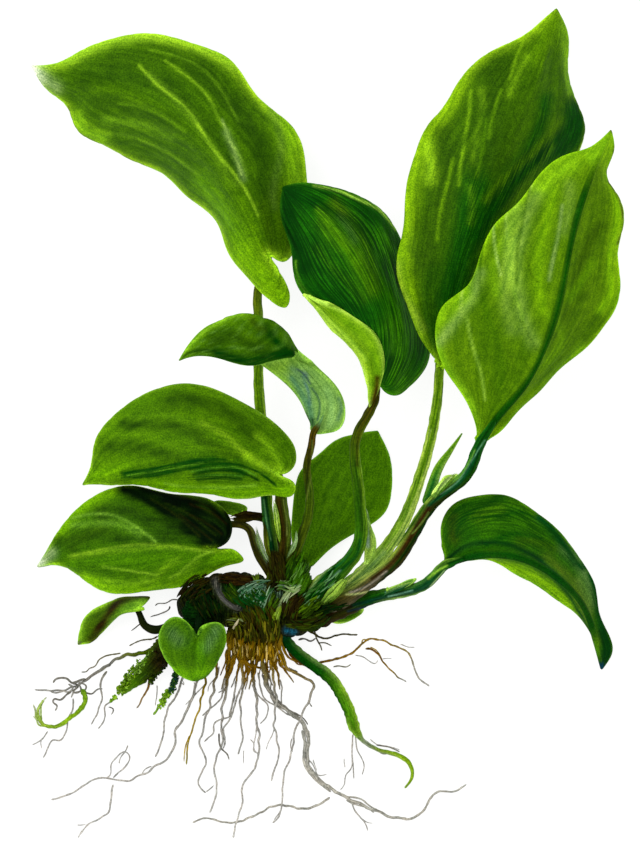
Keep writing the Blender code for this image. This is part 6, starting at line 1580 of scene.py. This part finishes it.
# The mass of young roots behind them, a flattened tube with streaks drawn down the picture.
collarMass = {
    "path": inSpace(-28.4,-65.4,2.4, -24,-66.4,2.6, -18.5,-66.6,2.6, -13.6,-65.6,2.4), "radius": 3.9,
    "samples": 90, "sides": 72, "skin": {"lump": 0.3, "lumpSize": 1.7, "seed": 820, "flat": 0.5},
    "streak": 0.35, "streakNarrow": 2.2, "streakStretch": 0.7, "streakSize": 2.2, "streakSeed": 821,
    "streakWaves": 18,
}


def massPaint(s, lateral, rings):
    look = collarMass
    streaks = ripples(rings[..., 0] * look["streakNarrow"], rings[..., 1] * look["streakStretch"],
                      look["streakSize"], look["streakSeed"], look["streakWaves"])
    return tintPaint("collar", s, rings) * (1 + look["streak"] * streaks)[..., None]


collar.append(tubeShell(smoothCurve(collarMass["path"], collarMass["samples"]),
                        np.full(collarMass["samples"], collarMass["radius"]), collarMass["sides"], massPaint,
                        **collarMass["skin"]))
makePiece("collarRoots", collar, finishes["root"], "brown_root")
print("roots made:", sum(pieceCount), "triangles so far")

# Sheath strips: curved remains of leaf bases that overlap round the crown, each made as strands side by
# side that lie on what is under them: (half width in mm, path, bands of colour).
sheathStrips = [
    (2.2, (284,600, 291,584, 299,566, 305,548), [
        (0, "#33420E", "#2E4A10", "#24400E"), (0.5, "#3E6A14", "#33600E", "#4E7A24"),
        (1, "#3E6A0A", "#3E6C0A", "#3E6A0A")]),
    (2, (288,604, 297,592, 305,580, 311,566), [
        (0, "#2E2A0A", "#33420E", "#2E5A10"), (0.4, "#4E7A24", "#3E6A18", "#33600E"),
        (1, "#3E6C0A", "#406E0A", "#406E0A")]),
    (1.9, (264,592, 271,581, 278,570, 283,556), [
        (0, "#33480E", "#33380C", "#2A280A"), (1, "#33300C", "#2E2A0A", "#3A3A10")]),
    (2.4, (281,586, 279,574, 276,562, 273,548), [
        (0, "#2A280A", "#24220A", "#2E300C"), (1, "#2A2A0A", "#2E2A0A", "#33300C")]),
    (1, (276,625, 278,613, 283,602, 290,594, 303,585), [
        (0, "#5E7A1A", "#7E9A24", "#5E6A1A"), (0.5, "#6E8A4A", "#94A87A", "#5E6E2E"),
        (1, "#7E9A64", "#94AC7C", "#4E7A2A")]),
    (1, (216,579, 218,591, 225,600, 233,607, 247,611), [
        (0, "#3A3A34", "#5A5A54", "#2E2E28"), (0.5, "#6A6A66", "#62625E", "#3E4A24"),
        (1, "#3E3E34", "#3A3A30", "#24241A")]),
    (2.3, (287,616, 291,604, 299,595), [
        (0, "#1E1A08", "#241E0A", "#2A240C"), (1, "#2A280A", "#2A220A", "#33280C")]),
    (2.1, (297,620, 303,609, 313,598, 323,588, 334,577), [
        (0, "#2A280A", "#24300A", "#1E3A10"), (0.5, "#3E6A2E", "#1A4E1A", "#1E5A1E"),
        (1, "#3E7A24", "#1E5A1E", "#2E6A1E")]),
    (1.5, (316,608, 326,600, 336,590, 350,574), [
        (0, "#33500E", "#3E5A12", "#24300C"), (0.35, "#7EA83A", "#94BE44", "#5E8A24"),
        (0.7, "#A0CC54", "#A4D04A", "#7EAA3A"), (1, "#7EAA3A", "#94C04A", "#6E9A3A")]),
    (1.6, (283,608, 293,615, 307,617, 320,613, 334,604), [
        (0, "#2A280A", "#241E0A", "#1E1A08"), (0.5, "#2E440E", "#2E3A0A", "#2A280A"),
        (1, "#24500F", "#1E3A10", "#242A0A")]),
    (1.6, (285,618, 292,622, 303,625, 317,623, 332,615), [
        (0, "#24200A", "#24220A", "#2A280A"), (0.5, "#24240A", "#1E240A", "#33480E"),
        (1, "#1E3410", "#1E3A10", "#2E5A14")]),
    (0.6, (256,525, 259,539, 263,550, 268,560, 274,570), [
        (0, "#B4C8A0", "#C4D8A4", "#94B05A"), (0.5, "#94B47A", "#A4BC94", "#6E9A3A"),
        (1, "#3E5A34", "#6E8E6A", "#33480E")]),
    (0.7, (264,520, 266,536, 268,550, 273,562), [
        (0, "#3A3A10", "#33340C", "#4E5A1A"), (0.5, "#5E7A1E", "#4A4A10", "#6E8A24"),
        (1, "#33380C", "#2E300A", "#2A280A")]),
    (0.75, (273,496, 276,512, 278,528, 281,546), [
        (0, "#A8C860", "#D0E8A0", "#A4C860"), (0.5, "#9CC83A", "#B8E060", "#94C030"),
        (1, "#5E8A14", "#6EA01A", "#446E10")]),
    (0.65, (296,530, 296,539, 292,549, 286,559), [
        (0, "#A4C884", "#B4D098", "#7EA040"), (0.5, "#7EA05A", "#94B47A", "#5E8A34"),
        (1, "#33480E", "#4E6A34", "#2A3A0C")]),
    (0.8, (434,498, 441,488, 449,479, 456,472), [
        (0, "#5E9A2A", "#86B83E", "#3E7A1E"), (1, "#C0DC8A", "#B0D07A", "#74A82E")]),
    (0.7, (380,597, 392,590, 404,585, 413,581), [
        (0, "#1E5A24", "#1E5A2A", "#0E4A1E"), (0.6, "#94C04A", "#5E9A5A", "#1A5A34"),
        (1, "#A8CC58", "#7EB04A", "#3E7A2A")]),
    (1.45, (228,518, 240,517, 252,516, 265,516), [
        (0, "#3A3A0E", "#33300C", "#4A4A14"), (0.5, "#33280A", "#2A200A", "#3A340E"),
        (1, "#2E240A", "#2A200A", "#33280C")]),
]
stripBuild = {
    "strands": 5, "samples": 48, "sides": 8, "ragged": 0.2, "seed": 5, "bodyPower": 0.8, "beside": 0.8,
    "wander": 0.12, "wanderLength": 9.0, "smooth": 5, "radius": 0.4, "radiusPower": 0.6, "sink": 0.05,
    "shades": (0.72, 1.25), "edgeShade": 0.25, "skin": {"lump": 0.12, "lumpSize": 2.0, "flat": 0.6},
    "skinSeed": 200,
}


def besideLine(points, distance):  # points moved to the right of the way they run
    way = np.gradient(points, axis=0)
    side = np.stack([way[:, 1], -way[:, 0]], -1) / np.linalg.norm(way, axis=1, keepdims=True)
    return points + side * distance[:, None]


def smoothUnder(points, reach):
    # height of what lies under a line, as a running mean over reach points each way
    height = np.pad(terrainUnder(points), reach, mode="edge")
    return np.convolve(height, np.ones(2 * reach + 1) / (2 * reach + 1), "valid")


def stripShells(rows):
    # each strand runs beside the strip's line at its own place from -1 to 1, drawn in to the line at both
    # ends by sin(pi * share)^power, and takes the strip's colour at that place
    build = stripBuild
    draw = np.random.default_rng(build["seed"])
    samples, ragged = build["samples"], build["ragged"]
    made = []
    for width, path, bands in rows:
        whole = drawn(path, 240)
        for spot in draw.permutation(np.linspace(-1, 1, build["strands"])):
            share = np.linspace(draw.uniform(0, ragged), draw.uniform(1 - ragged, 1), samples)
            body = np.clip(np.sin(np.pi * (0.02 + 0.96 * share)), 0, 1) ** build["bodyPower"]
            wander = ripples(share * 30, 0.0, build["wanderLength"], int(draw.integers(900)))
            beside = build["beside"] * spot + build["wander"] * wander
            curve = besideLine(alongCurve(whole, share), width * body * beside)
            height = smoothUnder(curve, build["smooth"]) - width * build["sink"]
            ends = np.sin(np.pi * np.linspace(0.06, 0.94, samples)) ** build["radiusPower"]
            colour = bandPaint(bands, share, np.array([spot])) * draw.uniform(*build["shades"])

            # painted shade: each strand is darker towards its sides as seen from above
            def strandPaint(s, lateral, rings):
                return colour * (1 - build["edgeShade"] * np.abs(lateral))[None, :, None]

            strand = tubeShell(np.column_stack([curve, height]), width * build["radius"] * body * ends,
                               build["sides"], strandPaint, seed=len(made) + build["skinSeed"],
                               **build["skin"])
            terrainRise(strand["points"])
            made.append(strand)
    return made


makePiece("crownSheaths", stripShells(sheathStrips), finishes["sheath"], "leaf_sheath")

# Fibres: torn strands of old sheaths and fine young roots, lying on what is under them. Each bundle follows
# a line, with its half width, its number of strands, their radius, and their colours: (half width, number,
# radius, colours, path). A strand is a short piece of that line, set off sideways and turned a little, that
# keeps to the highest surface below it, smoothed along its length.
fibreBundles = {
    "crownFibres": ("rhizome_skin", [
        (1.5, 60, 0.3, ("#2E2206", "#33280A", "#241C08", "#3A300E"), (218,577, 230,578, 243,580, 257,579)),
        (3.4, 70, 0.3, ("#241E0A", "#2E2A0A", "#1A240A", "#24300E"), (183,602, 193,590, 212,580)),
        (3.2, 60, 0.3, ("#10240F", "#1E220A", "#24380E", "#14240C"), (200,590, 206,604, 213,618)),
        (1.9, 40, 0.26, ("#2E4A0C", "#3E5A12", "#24380C", "#1E3A10"), (225,584, 232,594, 243,602)),
        # the crown's dark green, deepened as painted shade in its hollows, then its arcs in pale teal,
        # painted highlights
        (2.6, 46, 0.26, ("#0C3A14", "#0F401A", "#143A14", "#24380C"), (238,590, 246,599, 258,607)),
        (2.4, 46, 0.26, ("#0C3A14", "#12481C", "#1E4A1E", "#2E4A12"), (250,588, 258,597, 268,604)),
        (1.3, 26, 0.24, ("#7A9E7E", "#5E8464", "#86A886", "#4A7050", "#3E6A4A"),
         (238,597, 246,589, 258,584, 272,582)),
        (0.9, 12, 0.22, ("#5E8A6E", "#4A7656", "#6E947A"), (245,600, 250,592, 260,587)),
        (1, 18, 0.24, ("#7A9E7A", "#5E8460", "#8CAA84", "#33602E"), (260,611, 265,600, 270,590, 275,583)),
        (1, 12, 0.22, ("#5E8A66", "#4A7450"), (252,608, 256,598, 263,590)),
        (1.5, 30, 0.26, ("#6E944A", "#86A066", "#4E7A24", "#3E6A1A", "#5E7A5A"),
         (274,587, 283,585, 292,587, 302,582)),
        (0.9, 14, 0.26, ("#7A9A1E", "#6E8E1A", "#8AA83A"), (275,624, 277,613, 281,604)),
        (1, 10, 0.26, ("#94A87A", "#7E985A", "#A0B080"), (282,604, 288,595, 300,586)),
        (1.6, 26, 0.26, ("#2E4A0C", "#3E5E14", "#24300A"), (270,612, 273,601, 279,592)),
        (3, 50, 0.26, ("#2A280A", "#24200A", "#33300C", "#2E340C"), (282,584, 279,570, 275,553)),
        (2.2, 60, 0.26, ("#3E6A10", "#4E7E2A", "#33600E", "#5E8A3A", "#2E5A10"),
         (290,590, 299,576, 306,560)),
        (1.5, 30, 0.26, ("#24440C", "#2E4E0E", "#1E3A0A", "#33560E"), (285,580, 292,566, 298,551)),
        (2.1, 44, 0.26, ("#2E260A", "#33300C", "#241E08", "#3A3A10", "#2E440E"),
         (289,620, 293,606, 303,594)),
        (1.7, 44, 0.26, ("#3E5A10", "#4A6A14", "#2E440C", "#33500E"), (298,616, 310,607, 323,597)),
        (1.4, 50, 0.26, ("#24300C", "#2E300C", "#1A330F", "#384A12"), (286,621, 300,624, 314,621, 328,614)),
        (1.9, 30, 0.22, ("#0F3A12", "#2E6A20", "#4E7E3E", "#16460F", "#5E8E5A"),
         (302,603, 315,592, 328,580, 338,568)),
        (1.3, 26, 0.24, ("#14260C", "#24260C", "#1E3A10", "#0E2A10"), (316,612, 334,607, 350,603)),
        (0.8, 10, 0.24, ("#5E7A1A", "#6E8E2A", "#4A6010"), (255,573, 258,583)),
        (4.2, 90, 0.28, ("#33380C", "#2A2A0A", "#3E360C", "#24260A", "#4E5612"),
         (243,606, 250,618, 252,632)),
        (3, 70, 0.28, ("#2E440E", "#24280A", "#33290A", "#3E4A10"), (262,606, 266,618, 268,632)),
        (1.4, 14, 0.24, ("#5E6E2A", "#7A8A5A", "#4E5A1A"), (226,620, 236,621, 246,626)),
    ]),
    "rootCollar": ("brown_root", [
        (6.4, 90, 0.3, ("#33340C", "#4E5614", "#2A2A0A", "#3E360C", "#6E6A1A"), (256,620, 258,634, 258,646)),
        # the cream colour among these strands is a painted glint of light on the young roots
        (6.6, 84, 0.3, ("#8A6C14", "#A4841E", "#6E5410", "#7A6A14", "#C4AC5E", "#5E4A10"),
         (254,636, 254,648, 253,662)),
        (1.8, 20, 0.28, ("#8A6E1E", "#A4801A", "#6E5410"), (272,640, 276,656, 280,672)),
        (0.35, 3, 0.32, ("#C8C09A", "#A8A878"), (240,618, 236,623, 231,628)),
    ]),
}
fibreBuild = {
    "samples": 9, "sides": 5, "length": (1.8, 4.6), "longest": 0.9, "slant": 0.14, "flat": 0.7, "smooth": 3,
    "shades": (0.72, 1.28), "lift": 0.4, "sizes": (0.7, 1.3), "tipSize": 0.3, "seed": 17,
}


def fibreShells(bundles, seed):
    # its radius runs as tip + (1 - tip) * sin(pi * share) from end to end
    build = fibreBuild
    draw = np.random.default_rng(seed)
    slope = np.linspace(-0.5, 0.5, build["samples"])
    made = []
    for spread, number, radius, colours, path in bundles:
        line = drawn(path, 200)
        length = lengthsAlong(line)[-1]
        for _ in range(number):
            run = min(draw.uniform(*build["length"]) / length, build["longest"])
            start = draw.uniform(0, 1 - run)
            offset = draw.uniform(-1, 1) * spread
            slant = draw.normal(0, build["slant"]) * run * length
            colour = seen(colours[draw.integers(len(colours))]) * draw.uniform(*build["shades"])
            lift = draw.uniform(-build["lift"], build["lift"]) * radius
            size = radius * draw.uniform(*build["sizes"])
            spots = alongCurve(line, np.linspace(start, start + run, build["samples"]))
            spots = besideLine(spots, offset + slant * slope)
            height = smoothUnder(spots, build["smooth"]) + lift
            radii = size * (build["tipSize"] + (1 - build["tipSize"]) * np.sin(np.pi * (slope * 0.9 + 0.5)))
            made.append(tubeShell(np.column_stack([spots, height]), radii, build["sides"],
                                  lambda s, lateral, rings: np.broadcast_to(colour, rings.shape),
                                  flat=build["flat"]))
    return made


for number, (group, (slotName, bundles)) in enumerate(fibreBundles.items()):
    makePiece(group, fibreShells(bundles, number + fibreBuild["seed"]), finishes["fibre"], slotName)
print("fibres made:", sum(pieceCount), "triangles so far")

# Moss on the side shoot and on the mossy root: small pointed leaves, each a flat six-sided bud of 24 faces.
# rings are (place along the bud, radius), tips the places of its two ends, all as shares of its size.
moss = {
    "size": (0.25, 0.85), "lean": (0.1, 0.9), "tall": (0.15, 1), "tallPower": 0.7, "lowest": 0.5, "seed": 7,
    "rings": ((-0.5, 0.3), (0.1, 0.5), (0.6, 0.28)), "tips": (-0.8, 1.05), "flat": 0.4,
    "shades": (0.75, 1.2),
    "patches": [  # (path, spread in mm, height, number, colours)
        ((142,663, 133,673, 122,689), 1.2, 3.6, 300,
         ("#6E9A1E", "#84AE2A", "#5E8A14", "#4E7A10", "#7EAA3A")),
        ((133,680, 119,692), 1.2, 2.2, 200, ("#7EAA24", "#94BE3C", "#6E9A1A")),
        ((182,624, 168,640, 159,656), 1.9, 8.2, 300, ("#241E0A", "#2E2A0C", "#1E220A", "#33300E")),
        ((156,649, 146,660, 136,672), 0.8, 5.6, 260,
         ("#6E9A34", "#7EA83E", "#4E7A1A", "#5A8A1A", "#94B85A")),
        ((166,664, 158,672, 150,682), 0.8, 4.4, 110, ("#33480E", "#24300C", "#3E5A12")),
        ((178,656, 175,680, 171,691), 0.9, 2.6, 190, ("#2E5A1E", "#24463A", "#4E7A2A", "#1E3E36")),
        ((169,691, 160,706), 0.8, 1.6, 130, ("#86B82A", "#94C43C", "#6E9E20")),
        ((116,697, 110,702), 0.5, 0.8, 34, ("#86B82A", "#6FA01E", "#94C438")),
    ],
}


def mossShells(look):
    # each bud is a ring of six points between two tips, turned and leant at random
    draw = np.random.default_rng(look["seed"])
    angle = np.linspace(0, 2 * np.pi, 6, endpoint=False)
    wrap, down = np.tile(np.linspace(0, 1, 7), (3, 1)), np.array([0, 0.5, 1.0])
    made = []
    for path, spread, height, number, colours in look["patches"]:
        line = drawn(path, 240)
        base = alongCurve(line, draw.uniform(0, 1, number)) + draw.uniform(-1, 1, (number, 2)) * spread
        tall = draw.uniform(*look["tall"], number) ** look["tallPower"] * height
        for (x, y), z, shade, turn, lean, size in zip(
                base, tall, draw.integers(0, len(colours), number), draw.uniform(0, 2 * np.pi, number),
                draw.uniform(*look["lean"], number), draw.uniform(*look["size"], number)):
            way = np.array([np.cos(turn) * np.cos(lean), np.sin(turn) * np.cos(lean), np.sin(lean)])
            flat = np.array([-np.sin(turn), np.cos(turn), 0])
            up = np.cross(way, flat)
            centre = np.array([x, y, max(z, look["lowest"])])
            rings = np.stack([
                centre + way * size * along + np.outer(np.cos(angle), flat) * size * radius
                + np.outer(np.sin(angle), up) * size * radius * look["flat"]
                for along, radius in look["rings"]])
            ends = [centre + way * size * along for along in look["tips"]]
            paint = np.broadcast_to(seen(colours[shade]), rings.shape) * draw.uniform(*look["shades"])
            made.append(shell(rings, ends, wrap, down, paint))
    return made


makePiece("mossLeaves", mossShells(moss), finishes["moss"], "green_root")
print("moss made:", sum(pieceCount), "triangles in all")

# Stage: a pale matt light table, a soft overhead sky and one large soft lamp from the upper left.
floorMesh = bpy.data.meshes.new("tableTop")
half = studio["floorSize"] / 2
corners = [(-half, -half, 0), (half, -half, 0), (half, half, 0), (-half, half, 0)]
floorMesh.from_pydata(corners, [], [(0, 1, 2, 3)])
floor = bpy.data.objects.new("tableTop", floorMesh)
bpy.context.scene.collection.objects.link(floor)
floorFinish = bpy.data.materials.new("matt opal table")
floorFinish.use_nodes = True
white = (1, 1, 1, 1)
floorShader = floorFinish.node_tree.nodes["Principled BSDF"]
for socket, value in (("Base Color", (*linearColour(studio["floorPaint"]), 1)),
                      ("Roughness", studio["floorRoughness"]), ("Specular IOR Level", 0.0),
                      ("Emission Color", white), ("Emission Strength", studio["floorGlow"])):
    floorShader.inputs[socket].default_value = value
floorMesh.materials.append(floorFinish)

sky = bpy.data.worlds.new("softbox sky")
sky.use_nodes = True
sky.node_tree.nodes["Background"].inputs["Color"].default_value = white
sky.node_tree.nodes["Background"].inputs["Strength"].default_value = studio["sky"]
bpy.context.scene.world = sky
lampData = bpy.data.lights.new("softbox", "AREA")
lampData.size = studio["lampSize"]
lampPlace = np.array(studio["lampPlace"])
# a lamp of this size at this distance adds about power / (pi^2 * distance^2) of light, times its slant
lampData.energy = studio["lampShare"] * np.pi**2 * (lampPlace @ lampPlace) ** 1.5 / lampPlace[2]
lamp = bpy.data.objects.new("softbox", lampData)
lamp.location = lampPlace
lamp.rotation_mode = "QUATERNION"
lamp.rotation_quaternion = Vector(-lampPlace).to_track_quat("-Z", "Y")
bpy.context.scene.collection.objects.link(lamp)

# Camera: straight down from far away. Its sensor's width lies along the long side of the 640 by 843 image.
cameraData = bpy.data.cameras.new("camera")
cameraData.sensor_width = studio["sensor"]
cameraData.lens = studio["sensor"] * studio["cameraHeight"] / studio["viewHeight"]
cameraData.clip_start, cameraData.clip_end = studio["clip"]
camera = bpy.data.objects.new("camera", cameraData)
camera.location = (*(mm * plan["metre"] for mm in studio["aim"]), studio["cameraHeight"])
bpy.context.scene.collection.objects.link(camera)
bpy.context.scene.camera = camera
bpy.context.scene.view_settings.view_transform = "Standard"

print("stage, light and camera made")
